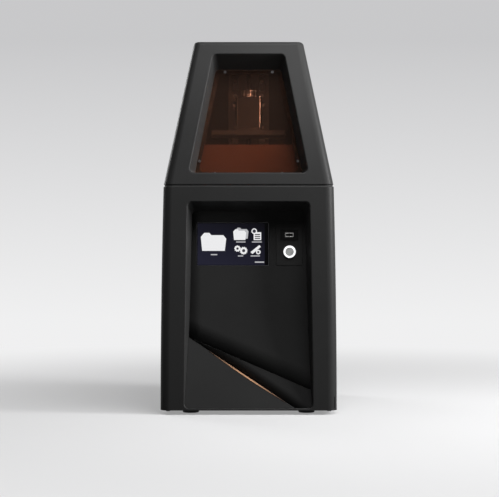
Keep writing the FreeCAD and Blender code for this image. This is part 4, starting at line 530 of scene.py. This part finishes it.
def metal(name, colour, roughness, lines=2500.0, stretch=0.02, bump=0.08):
    """A machined or drawn metal: fine lines, smears of gloss and a slightly uneven colour."""
    line_depth = 0.0002
    line_shade = 0.82
    gloss_range = (roughness - 0.06, roughness + 0.08)
    in_lines = [tone * line_shade for tone in colour]
    material, nodes, links, output = new_material(name)
    body = main_shader(nodes, links, output.inputs["Surface"], {"Metallic": 1.0})
    drawn = nodes.new("ShaderNodeGroup")
    drawn.node_tree = metal_lines
    drawn.inputs["Lines per metre"].default_value = lines
    drawn.inputs["Stretch"].default_value = stretch
    tones = two_tones(nodes, links, drawn.outputs["Height"], in_lines, colour)
    links.new(tones, body.inputs["Base Color"])
    gloss = remap(nodes, links, drawn.outputs["Gloss"], 0.0, 1.0, *gloss_range)
    links.new(gloss, body.inputs["Roughness"])
    relief_on(nodes, links, body, drawn.outputs["Height"], bump, line_depth)
    return material


rounds = pressed_rounds()
supply_zinc = metal("supply_zinc", (0.55, 0.55, 0.53), roughness=0.38, lines=900.0, stretch=0.1)
screw_steel = metal("screw_steel", (0.16, 0.16, 0.165), roughness=0.40, lines=4000.0, stretch=1.0)
paint(supply_zinc, "power_supply")
supply_low, supply_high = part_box("power_supply")
grow("supply_holes", rounds, {
    "Count": 14, "First": (supply_high[0], -0.05, supply_low[2] + 0.03), "Step": (0.0, 0.010, 0.0),
    "Rows": 6, "Row step": (0.0, 0.0, 0.010), "Turn": (0.0, math.radians(90), 0.0),
    "Sides": 6, "Radius": 0.0042, "Rise": 0.0004, "Socket share": 0.8, "Socket depth": 0.0003,
    "Material": supply_zinc,
}, "base")
grow("supply_terminals", rounds, {
    "Count": 5, "First": (supply_low[0] + 0.006, supply_low[1] + 0.006, supply_low[2] + 0.0244),
    "Step": (0.008, 0.0, 0.0), "Radius": 0.003, "Rise": 0.0016, "Material": screw_steel,
}, "base")

# Main board: a green circuit board on four spacers, with three large chips, a row of cans along one
# edge and a row of white plug headers along the other.
board_green = moulded(
    "board_green", (0.008, 0.075, 0.030), (0.018, 0.130, 0.055),
    roughness=0.32, grain=400.0, bump=0.1, tone=60.0)
paint(board_green, "main_board")
can_metal = metal("can_metal", (0.52, 0.52, 0.54), roughness=0.3, lines=3000.0, stretch=1.0)
header_white = moulded(
    "header_white", (0.55, 0.54, 0.50), (0.68, 0.67, 0.62), roughness=0.45, bump=0.05)
board_low, board_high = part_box("main_board")
board_above_floor = 0.0096
board_face = board_low[2] + board_above_floor
grow("board_cans", rounds, {
    "Count": 9, "First": (board_low[0] + 0.004, board_low[1] + 0.014, board_face + 0.003),
    "Step": (0.0, 0.017, 0.0), "Radius": 0.0026, "Rise": 0.006, "Socket share": 0.8,
    "Socket depth": 0.0004, "Material": can_metal,
}, "base")
grow("board_headers", slats, {
    "Count": 8, "First": (board_high[0] - 0.0035, board_low[1] + 0.02, board_face),
    "Step": (0.0, 0.018, 0.0), "Turn": LENGTHWISE, "Length": 0.012, "Width": 0.005,
    "Rise": 0.005, "Corner": 0.0006, "Material": header_white,
}, "base")

# Rear panel: the same powder-coated sheet, slotted before the fan. The mains inlet, its rocker and
# the fan's frame and rotor are moulded in smooth black plastic.
paint(powder_coat, "rear_panel")
socket_black = moulded(
    "socket_black", (0.016, 0.016, 0.017), (0.032, 0.032, 0.033),
    roughness=0.34, grain=1500.0, bump=0.06, specular=0.4)
paint(socket_black, "power_inlet", "mains_rocker", "fan_frame", "fan_rotor")

# Front panel: a curved sheet of etched plastic, duller than the casing, set deep in its recess. Two
# folded plates lie on its lower part and meet it along a slanting crease.
panel_black = moulded(
    "panel_black", grey(0.020), grey(0.038), roughness=0.50, grain=1100.0, bump=0.2, specular=0.05)


def rolled_edges(material, rolls):
    """Shade a moulded face as if it rolled back to straight edges: each roll has its way, edge, width
    and drop.
    """
    nodes = material.node_tree.nodes
    links = material.node_tree.links
    place = nodes.new("ShaderNodeTexCoord")
    height = 0.0
    for way, edge, width, drop in rolls:
        along = nodes.new("ShaderNodeVectorMath")
        along.operation = "DOT_PRODUCT"
        along.inputs[1].default_value = way
        links.new(place.outputs["Object"], along.inputs[0])
        nearness = remap(nodes, links, along.outputs["Value"], edge, edge + width, 1.0, 0.0)
        square = calculate(nodes, links, "POWER", nearness, 2.0)
        height = calculate(nodes, links, "MULTIPLY_ADD", square, -drop, height)
    roll = nodes.new("ShaderNodeBump")
    roll.inputs["Strength"].default_value = 1.0
    roll.inputs["Distance"].default_value = 1.0
    links.new(height, roll.inputs["Height"])
    etch = [node for node in nodes if node.bl_idname == "ShaderNodeBump" and node is not roll][0]
    links.new(roll.outputs["Normal"], etch.inputs["Normal"])


def edge_roll(start, end, width, drop):
    """A roll down to the straight edge between two places on the panel, in metres across and up."""
    run = Vector((end[0] - start[0], end[1] - start[1])).normalized()
    way = (-run.y, 0.0, run.x)
    return way, way[0] * start[0] + way[2] * start[1], width, drop


fold_start = (-0.103, 0.130)
fold_end = (0.0836, 0.0075)
crease_end = (0.130, 0.0304)
left_edge = -0.1035
rolled_edges(panel_black, [
    edge_roll(fold_start, crease_end, width=0.030, drop=0.011),
    ((1.0, 0.0, 0.0), left_edge, 0.022, 0.006),
])
paint(panel_black, "front_panel")
# Painted shade: the facet plate is a darker copy of the panel's plastic, for the shade in the fold.
facet_painted_shade = moulded(
    "facet_painted_shade", grey(0.018), grey(0.034), roughness=0.50, grain=1100.0, bump=0.1, specular=0.05)
rolled_edges(facet_painted_shade, [edge_roll(fold_start, fold_end, width=0.018, drop=0.008)])
paint(facet_painted_shade, "facet_panel")
# Painted light: the corner plate is a lighter copy of the panel's plastic, as it faces up to the lamps.
corner_painted_light = moulded(
    "corner_painted_light", grey(0.026), grey(0.044), roughness=0.48, grain=1100.0, bump=0.1, specular=0.06)
paint(corner_painted_light, "corner_plate")


# Accent strip: a thin lens of satin orange plastic, inlaid along the corner plate's folded edge and
# pressed in from the front. Its colour is painted darker towards its ends, where it thins out:
# painted shade that leaves a lighter middle, like a highlight.
def distance_from(nodes, links, value, middle):
    """How far a value is from a middle, to either side."""
    return calculate(nodes, links, "ABSOLUTE", calculate(nodes, links, "SUBTRACT", value, middle))


def blend_over(material, label, share, value):
    """Let one input of a finish turn to another value as a share rises from 0 to 1."""
    nodes = material.node_tree.nodes
    links = material.node_tree.links
    body = [node for node in nodes if node.bl_idname == "ShaderNodeBsdfPrincipled"][0]
    blend = nodes.new("ShaderNodeMix")
    blend.data_type = "RGBA"
    blend.inputs["B"].default_value = value
    links.new(share, blend.inputs["Factor"])
    links.new(body.inputs[label].links[0].from_socket, blend.inputs["A"])
    links.new(blend.outputs["Result"], body.inputs[label])


accent_orange = moulded(
    "accent_orange", (0.60, 0.30, 0.15), (0.84, 0.50, 0.31),
    roughness=0.34, grain=700.0, bump=0.05, tone=14.0)
nodes = accent_orange.node_tree.nodes
links = accent_orange.node_tree.links
accent_low, accent_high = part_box("accent_strip")
accent_middle = (accent_low[0] + accent_high[0]) / 2
accent_reach = accent_high[0] - accent_middle
# Painted shade: the strip's colour darkens towards both of its ends.
from_middle = distance_from(nodes, links, axis_of(nodes, links, "X"), accent_middle)
painted_shade_at_ends = remap(nodes, links, from_middle, 0.0, accent_reach, smooth=True)
blend_over(accent_orange, "Base Color", painted_shade_at_ends, (0.13, 0.075, 0.05, 1))
paint(accent_orange, "accent_strip")

# Touch screen: dark glass over a lit display with a navy ground, in a black border. The signs on it
# are folders, a sheet, two gear wheels and a brush, with plain bars for captions.
panel_centre = Vector((0.0, -0.137, 0.289))
panel_tilt = math.radians(2.5)


def on_panel(across, rise, depth):
    """A point of the leaning panel: millimetres across, up from its centre and behind its face."""
    back = depth * math.cos(panel_tilt) + rise * math.sin(panel_tilt)
    up = rise * math.cos(panel_tilt) - depth * math.sin(panel_tilt)
    return panel_centre + Vector((across, back, up)) / 1000.0


screen_navy, nodes, links, output = new_material("screen_navy")
screen_slope = 0.35
screen_low = 0.235
screen_high = 0.335
screen_lit = (0.0135, 0.0135, 0.028)
screen_dim = (0.0016, 0.0014, 0.0032)
screen_slant = calculate(
    nodes, links, "MULTIPLY_ADD", axis_of(nodes, links, "X"), screen_slope, axis_of(nodes, links, "Z"))
screen_share = remap(nodes, links, screen_slant, screen_low, screen_high)
screen_tone = two_tones(nodes, links, screen_share, screen_lit, screen_dim)
glass_gloss = remap(nodes, links, object_noise(nodes, links, 45.0), 0.0, 1.0, first=0.06, last=0.18)
body = main_shader(nodes, links, output.inputs["Surface"], {
    "Base Color": (0.004, 0.004, 0.006, 1), "Specular IOR Level": 0.07, "Emission Strength": 0.85})
links.new(screen_tone, body.inputs["Emission Color"])
links.new(glass_gloss, body.inputs["Roughness"])
paint(screen_navy, "touch_glass")


def lit_sign(name, colour):
    """A lit part of the display, with the faint grid of its pixels."""
    material, nodes, links, output = new_material(name)
    place = nodes.new("ShaderNodeTexCoord")
    grid = nodes.new("ShaderNodeTexBrick")
    grid.inputs["Scale"].default_value = 2200.0
    grid.inputs["Mortar Size"].default_value = 0.01
    grid.inputs["Color1"].default_value = (*colour, 1)
    grid.inputs["Color2"].default_value = tuple(tone * 0.94 for tone in colour) + (1,)
    grid.inputs["Mortar"].default_value = tuple(tone * 0.8 for tone in colour) + (1,)
    links.new(place.outputs["Object"], grid.inputs["Vector"])
    body = main_shader(nodes, links, output.inputs["Surface"], {
        "Base Color": (0.02, 0.02, 0.02, 1), "Roughness": 0.15, "Emission Strength": 1.0})
    links.new(grid.outputs["Color"], body.inputs["Emission Color"])
    return material


def printed(name, outlines, material, depth, lift):
    """Flat outlines at a depth behind the panel's face, drawn out to a layer that is lift thick."""
    layer = bmesh.new()
    for outline in outlines:
        low = [layer.verts.new(on_panel(across, rise, depth)) for across, rise in outline]
        high = [layer.verts.new(on_panel(across, rise, depth - lift)) for across, rise in outline]
        layer.faces.new(high)
        layer.faces.new(low[::-1])
        for n in range(len(outline)):
            after = (n + 1) % len(outline)
            layer.faces.new((low[n], low[after], high[after], high[n]))
    bmesh.ops.recalc_face_normals(layer, faces=layer.faces)
    mesh = bpy.data.meshes.new(name)
    layer.to_mesh(mesh)
    layer.free()
    mesh.materials.append(material)
    thing = bpy.data.objects.new(name, mesh)
    bpy.context.scene.collection.objects.link(thing)
    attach(thing, "base")


def bar_outline(left, low, right, high):
    """A rectangle's corners."""
    return [(left, low), (right, low), (right, high), (left, high)]


def disc_outline(across, rise, radius, count=28):
    """A circle's outline."""
    turns = [math.tau * n / count for n in range(count)]
    return [(across + radius * math.cos(turn), rise + radius * math.sin(turn)) for turn in turns]


def gear_outline(across, rise, radius, teeth):
    """A wheel's outline with square-shouldered teeth."""
    points = []
    for tooth in range(teeth):
        for share, reach in ((0.0, 0.84), (0.2, 1.0), (0.5, 1.0), (0.7, 0.84)):
            turn = math.tau * (tooth + share) / teeth
            reach *= radius
            points.append((across + reach * math.cos(turn), rise + reach * math.sin(turn)))
    return points


def folder_outline(left, low, right, high, tab):
    """A folder with a tab at its upper left and cut upper corners."""
    cut = (high - low) * 0.16
    return [
        (left + cut * 0.5, low), (right - cut * 0.5, low), (right, high - cut * 2.0),
        (right - cut, high - cut * 0.8), (left + tab + cut * 0.6, high - cut * 0.8), (left + tab, high),
        (left + cut * 1.2, high), (left, high - cut * 1.4),
    ]


sign_white = lit_sign("sign_white", (0.84, 0.84, 0.85))
sign_pale = lit_sign("sign_pale", (0.46, 0.46, 0.48))
sign_dark = lit_sign("sign_dark", (0.014, 0.013, 0.024))
border_black = moulded(
    "border_black", (0.0015, 0.0015, 0.002), (0.003, 0.003, 0.004),
    roughness=0.2, grain=600.0, bump=0.02, specular=0.05)
glass_face = 1.2
sign_lift = 0.1
printed("screen_border", [
    bar_outline(27.6, -36.5, 33.8, 36.5),
    bar_outline(-88.6, -36.5, -87.8, 36.5),
    bar_outline(-87.7, 35.7, 27.5, 36.5),
    bar_outline(-87.7, -36.5, 27.5, -35.7),
], border_black, glass_face, lift=0.08)
printed("screen_signs_behind", [
    folder_outline(-22.6, 9.4, -0.2, 28.4, 8.0),
    bar_outline(-65.0, -19.0, -54.0, -17.0),
    bar_outline(-21.6, 2.9, -5.4, 4.6),
    bar_outline(5.6, 2.9, 22.6, 4.6),
    bar_outline(-18.4, -21.2, -9.4, -19.4),
    bar_outline(3.4, -21.2, 19.4, -19.4),
    bar_outline(10.6, -32.0, 26.6, -29.8),
], sign_pale, glass_face, lift=0.06)
printed("screen_signs", [
    folder_outline(-82.4, -11.5, -38.6, 19.5, 15.0),
    folder_outline(-26.6, 7.2, -4.2, 25.6, 8.0),
    disc_outline(9.6, 22.4, 4.8),
    bar_outline(8.6, 7.0, 21.6, 20.6),
    gear_outline(-19.2, -7.6, 5.6, 9),
    gear_outline(-8.6, -11.2, 6.8, 11),
    [(3.2, -13.6), (6.6, -17.0), (21.0, -4.6), (18.4, -1.4)],
    disc_outline(16.6, -13.6, 4.0),
], sign_white, glass_face, lift=sign_lift)
printed("screen_sign_holes", [
    disc_outline(9.6, 22.4, 3.0),
    disc_outline(-19.2, -7.6, 2.1),
    disc_outline(-8.6, -11.2, 2.7),
    disc_outline(16.6, -13.6, 1.9),
    *[bar_outline(10.6, low, 19.6, low + 1.8) for low in (9.0, 12.4, 15.8)],
], sign_dark, glass_face - sign_lift, lift=0.06)
display_tin = metal("display_tin", (0.42, 0.42, 0.43), roughness=0.4, lines=1200.0, stretch=0.2)
paint(display_tin, "display_module")

# Key plate: a plate of the panel's plastic with a USB socket above and a push-button below. The
# socket is a glossy black housing with a bright folded shell and two rows of spring tongues in it.
key_black = moulded("key_black", grey(0.022), grey(0.038), roughness=0.48, grain=1100.0, specular=0.06)
paint(key_black, "key_plate")
usb_black = moulded(
    "usb_black", grey(0.006), grey(0.012), roughness=0.30, grain=1500.0, bump=0.04, specular=0.06)
paint(usb_black, "usb_housing")
nickel = metal("nickel", (0.86, 0.85, 0.82), roughness=0.2, lines=5000.0, stretch=1.0)
paint(nickel, "usb_shell")
socket_centre_x = 69.8
socket_centre_up = 16.0
tongue_width = 1.2
tongue_thick = 0.7
tongue_gap = 2.2
tongue_depth = 4.0
tongue_length = 3.6
tongue_bars = []
for side in (-1, 1):
    for shift in (2.2, 4.4):
        left = socket_centre_x + side * shift - tongue_width / 2
        for low in (socket_centre_up + tongue_gap, socket_centre_up - tongue_gap - tongue_thick):
            tongue_bars.append(bar_outline(left, low, left + tongue_width, low + tongue_thick))
printed("usb_spring_tongues", tongue_bars, nickel, tongue_depth, lift=tongue_length)

# Push-button: a turned steel bezel, a ring of diffused white light and a satin grey cap that is
# pressed against a spring in the bezel's barrel.
bezel_steel = metal("bezel_steel", (0.46, 0.46, 0.47), roughness=0.30, lines=4000.0, stretch=1.0)
paint(bezel_steel, "button_bezel")
cap_satin = moulded(
    "cap_satin", (0.62, 0.63, 0.62), (0.76, 0.77, 0.76), roughness=0.42, grain=2500.0, bump=0.05)
paint(cap_satin, "power_button")
ring_light, nodes, links, output = new_material("ring_light")
ring_tone = two_tones(nodes, links, object_noise(nodes, links, 400.0), (0.88, 0.90, 0.92), grey(1.0))
body = main_shader(nodes, links, output.inputs["Surface"], {
    "Base Color": (0.75, 0.75, 0.75, 1), "Roughness": 0.3, "Emission Strength": 1.1})
links.new(ring_tone, body.inputs["Emission Color"])
paint(ring_light, "button_light_ring")

# Deck: a milled aluminium plate on the casing's ledge, with a clear glass let into it over the
# projector. The cutter's lines still show on the metal.
milled_aluminium = metal("milled_aluminium", (0.42, 0.42, 0.43), roughness=0.38, lines=1800.0)
paint(milled_aluminium, "top_deck")


def clear_sheet(name, tint, shade, roughness, clear, index=1.49):
    """A clear or tinted sheet: what is seen through it takes its tint, and its shadow the shade."""
    smear_shade = 0.94
    gloss_range = (roughness * 0.6, roughness * 1.4)
    material, nodes, links, output = new_material(name)
    light_path = nodes.new("ShaderNodeLightPath")
    mix = nodes.new("ShaderNodeMixShader")
    body = main_shader(nodes, links, mix.inputs[1], {"IOR": index, "Transmission Weight": clear})
    smears = object_noise(nodes, links, 14.0, detail=3.0)
    in_smears = [tone * smear_shade for tone in tint]
    links.new(two_tones(nodes, links, smears, in_smears, tint), body.inputs["Base Color"])
    gloss = remap(nodes, links, smears, 0.0, 1.0, *gloss_range)
    links.new(gloss, body.inputs["Roughness"])
    through = nodes.new("ShaderNodeBsdfTransparent")
    through.inputs["Color"].default_value = (*shade, 1)
    links.new(light_path.outputs["Is Shadow Ray"], mix.inputs["Fac"])
    links.new(through.outputs[0], mix.inputs[2])
    links.new(mix.outputs[0], output.inputs["Surface"])
    return material


optical_clear = clear_sheet(
    "optical_clear", tint=(0.94, 0.97, 0.96), shade=(0.95, 0.97, 0.96), roughness=0.03, clear=1.0)
paint(optical_clear, "projection_glass")

# Vat: a drafted aluminium tub on a seat of the same metal, with a clear film stretched under it by
# a steel frame. Two black turn-clamps on steel studs hold its flange down.
paint(milled_aluminium, "vat_seat", "vat_body")
film_clear = clear_sheet(
    "film_clear", tint=(0.90, 0.93, 0.94), shade=(0.92, 0.94, 0.95),
    roughness=0.10, clear=0.96, index=1.38)
paint(film_clear, "vat_film")
frame_steel = metal("frame_steel", (0.50, 0.50, 0.51), roughness=0.3)
paint(frame_steel, "film_frame")
clamp_black = moulded(
    "clamp_black", (0.026, 0.026, 0.027), (0.050, 0.050, 0.052),
    roughness=0.34, grain=1200.0, bump=0.08, specular=0.4)
paint(clamp_black, "vat_clamp_left", "vat_clamp_right")
ground_steel = metal("ground_steel", (0.50, 0.50, 0.52), roughness=0.2, lines=3500.0)
paint(ground_steel, "clamp_studs")

# Splash guard: a plate of milky amber acrylic on the seat's front face, which keeps drops of resin
# off the window.
amber_guard = clear_sheet(
    "amber_guard", tint=(0.34, 0.165, 0.10), shade=(0.80, 0.56, 0.45), roughness=0.12, clear=0.50)
paint(amber_guard, "splash_guard")

# Column: a slotted aluminium extrusion on the deck, with two ground steel rails on its front, each
# held by a row of screws.
column_grey = metal(
    "column_grey", (0.25, 0.245, 0.24), roughness=0.44, lines=1500.0, stretch=1.0, bump=0.12)
paint(column_grey, "z_column", "screw_top_support")
paint(ground_steel, "linear_rails")
rail_low, rail_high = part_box("linear_rails")
rail_width = 0.012
rail_spread = rail_high[0] * 2 - rail_width
grow("rail_screw_heads", rounds, {
    "Count": 9, "First": (-rail_spread / 2, rail_low[1], rail_low[2] + 0.011), "Step": (0.0, 0.0, 0.024),
    "Rows": 2, "Row step": (rail_spread, 0.0, 0.0), "Turn": UPRIGHT, "Radius": 0.0028, "Rise": 0.0003,
    "Socket share": 0.5, "Socket depth": 0.0002, "Material": screw_steel,
}, "base")


# Drive: a stepper motor under the deck with plated end caps, a coupler, and a lead screw with a
# rolled thread of 4 mm pitch that turns in a bearing at the column's top.
def rolled_thread():
    """A core with a round-crested helical ridge along most of it, and a plain neck above."""
    tree, start, end = geometry_tree("rolled_thread", [
        ("Foot", "Vector", (0.0, 0.0, 0.0)), ("Ridge foot", "Vector", (0.0, 0.0, 0.001)),
        ("Turns", "Float", 10.0), ("Ridge length", "Float", 0.1), ("Core length", "Float", 0.11),
        ("Core radius", "Float", 0.004), ("Ridge radius", "Float", 0.001),
        ("Material", "Material", None)])
    path = tree.nodes.new("GeometryNodeCurveSpiral")
    path.inputs["Resolution"].default_value = 24
    feed(tree, start, path, {"Rotations": "Turns", "Start Radius": "Core radius",
                             "End Radius": "Core radius", "Height": "Ridge length"})
    section = tree.nodes.new("GeometryNodeCurvePrimitiveCircle")
    section.inputs["Resolution"].default_value = 8
    tree.links.new(start.outputs["Ridge radius"], section.inputs["Radius"])
    ridge = tree.nodes.new("GeometryNodeCurveToMesh")
    ridge.inputs["Fill Caps"].default_value = True
    tree.links.new(path.outputs[0], ridge.inputs["Curve"])
    tree.links.new(section.outputs[0], ridge.inputs["Profile Curve"])
    ridge_raised = tree.nodes.new("GeometryNodeTransform")
    tree.links.new(ridge.outputs[0], ridge_raised.inputs["Geometry"])
    tree.links.new(start.outputs["Ridge foot"], ridge_raised.inputs["Translation"])
    core = tree.nodes.new("GeometryNodeMeshCylinder")
    core.inputs["Vertices"].default_value = 32
    feed(tree, start, core, {"Radius": "Core radius", "Depth": "Core length"})
    half = calculate(tree.nodes, tree.links, "MULTIPLY", start.outputs["Core length"], 0.5)
    lift = tree.nodes.new("ShaderNodeCombineXYZ")
    tree.links.new(half, lift.inputs["Z"])
    raised = tree.nodes.new("GeometryNodeTransform")
    tree.links.new(core.outputs["Mesh"], raised.inputs["Geometry"])
    tree.links.new(lift.outputs[0], raised.inputs["Translation"])
    both = tree.nodes.new("GeometryNodeJoinGeometry")
    tree.links.new(ridge_raised.outputs[0], both.inputs[0])
    tree.links.new(raised.outputs[0], both.inputs[0])
    placed = tree.nodes.new("GeometryNodeTransform")
    tree.links.new(both.outputs[0], placed.inputs["Geometry"])
    tree.links.new(start.outputs["Foot"], placed.inputs["Translation"])
    smooth = tree.nodes.new("GeometryNodeSetShadeSmooth")
    tree.links.new(placed.outputs[0], smooth.inputs["Geometry"])
    close_tree(tree, start, end, smooth.outputs[0])
    return tree


screw_low, screw_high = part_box("lead_screw")
thread_pitch = 0.004
ridge_radius = 0.001
neck_length = 0.014
screw_length = screw_high[2] - screw_low[2]
ridge_length = screw_length - neck_length - 2 * ridge_radius
lead_thread = grow("lead_screw_thread", rolled_thread(), {
    "Foot": (0.0, (screw_low[1] + screw_high[1]) / 2, screw_low[2]),
    "Ridge foot": (0.0, 0.0, ridge_radius), "Turns": ridge_length / thread_pitch,
    "Ridge length": ridge_length, "Core length": screw_length,
    "Core radius": screw_high[0] - ridge_radius, "Ridge radius": ridge_radius, "Material": ground_steel,
}, "screw")
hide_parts("lead_screw")
paint(ground_steel, "motor_shaft", "top_bearing")
paint(milled_aluminium, "motor_coupler")

motor_steel, nodes, links, output = new_material("motor_steel")
motor_low, motor_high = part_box("z_motor")
stack = remap(nodes, links, axis_of(nodes, links, "Z"), motor_low[2], motor_high[2])
cap_metal = (0.42, 0.42, 0.43, 1)
caps = nodes.new("ShaderNodeValToRGB")
caps.color_ramp.interpolation = "CONSTANT"
caps.color_ramp.elements[0].color = cap_metal
caps.color_ramp.elements[1].position = 0.22
caps.color_ramp.elements[1].color = (0.018, 0.018, 0.019, 1)
caps.color_ramp.elements.new(0.74).color = cap_metal
links.new(stack, caps.inputs["Fac"])
place = nodes.new("ShaderNodeTexCoord")
laminations = nodes.new("ShaderNodeTexWave")
laminations.bands_direction = "Z"
laminations.inputs["Scale"].default_value = 330.0
links.new(place.outputs["Object"], laminations.inputs["Vector"])
body = main_shader(nodes, links, output.inputs["Surface"], {"Metallic": 0.7, "Roughness": 0.42})
links.new(caps.outputs["Color"], body.inputs["Base Color"])
relief_on(nodes, links, body, laminations.outputs["Fac"], strength=0.2, distance=0.0002)
paint(motor_steel, "z_motor")

# Carriage: two steel blocks on the rails and a brass nut on the screw, joined by an anodised plate.
# An arm on the plate carries the platform's neck, whose rounded edges are bare and bright.
paint(ground_steel, "rail_blocks")
nut_brass = metal("nut_brass", (0.66, 0.47, 0.20), roughness=0.28)
paint(nut_brass, "lead_nut")
anodised = metal("anodised", (0.24, 0.235, 0.23), roughness=0.36, lines=1500.0, stretch=1.0, bump=0.10)
paint(anodised, "carriage_plate", "platform_arm")

neck_grey = metal(
    "neck_grey", (0.06, 0.059, 0.058), roughness=0.40, lines=1500.0, stretch=1.0, bump=0.10)
nodes = neck_grey.node_tree.nodes
links = neck_grey.node_tree.links
neck_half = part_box("platform_neck")[1][0]
edge_round = 0.004
bare_from = neck_half - edge_round
bare_to = bare_from + edge_round * 0.2
from_middle = distance_from(nodes, links, axis_of(nodes, links, "X"), 0.0)
bare_edge = remap(nodes, links, from_middle, bare_from, bare_to, smooth=True)
blend_over(neck_grey, "Base Color", bare_edge, (0.80, 0.79, 0.77, 1))
blend_over(neck_grey, "Roughness", bare_edge, (0.16, 0.16, 0.16, 1))
paint(neck_grey, "platform_neck")

# Platform: a ground aluminium plate under the neck, clamped by a fluted, plated knob on top. The
# screws at the neck's sides set its level.
platform_grey = metal("platform_grey", (0.12, 0.118, 0.116), roughness=0.40, lines=2200.0, stretch=0.05)
paint(platform_grey, "build_platform")
knob_nickel = metal(
    "knob_nickel", (0.40, 0.395, 0.385), roughness=0.16, lines=3000.0, stretch=1.0, bump=0.04)
paint(knob_nickel, "clamp_knob")
bright_steel = metal("bright_steel", (0.62, 0.62, 0.63), roughness=0.22, lines=4000.0, stretch=1.0)
paint(bright_steel, "arm_screws")

# Hood: a cut-off pyramid moulded in the casing's plastic, with a deep tunnel to its window. The pane
# is deep amber acrylic, screwed to a ledge at the tunnel's end.
paint(casing_black, "hood_shell")
amber_pane = clear_sheet(
    "amber_pane", tint=(0.46, 0.30, 0.23), shade=(0.78, 0.63, 0.55), roughness=0.03, clear=0.978)
paint(amber_pane, "window_pane")

# Hinges and screws: powder-coated leaves on steel pins at the back, and black-oxide socket screws
# that hold the pane, the leaves, the rear panel, the base and the deck.
paint(powder_coat, "casing_hinge_leaves", "hood_hinge_leaves")
paint(ground_steel, "hinge_pins")
oxide_steel = metal("oxide_steel", (0.09, 0.09, 0.095), roughness=0.40, lines=4000.0, stretch=1.0)
paint(oxide_steel, "hood_screws", "rear_screws", "casing_screws")
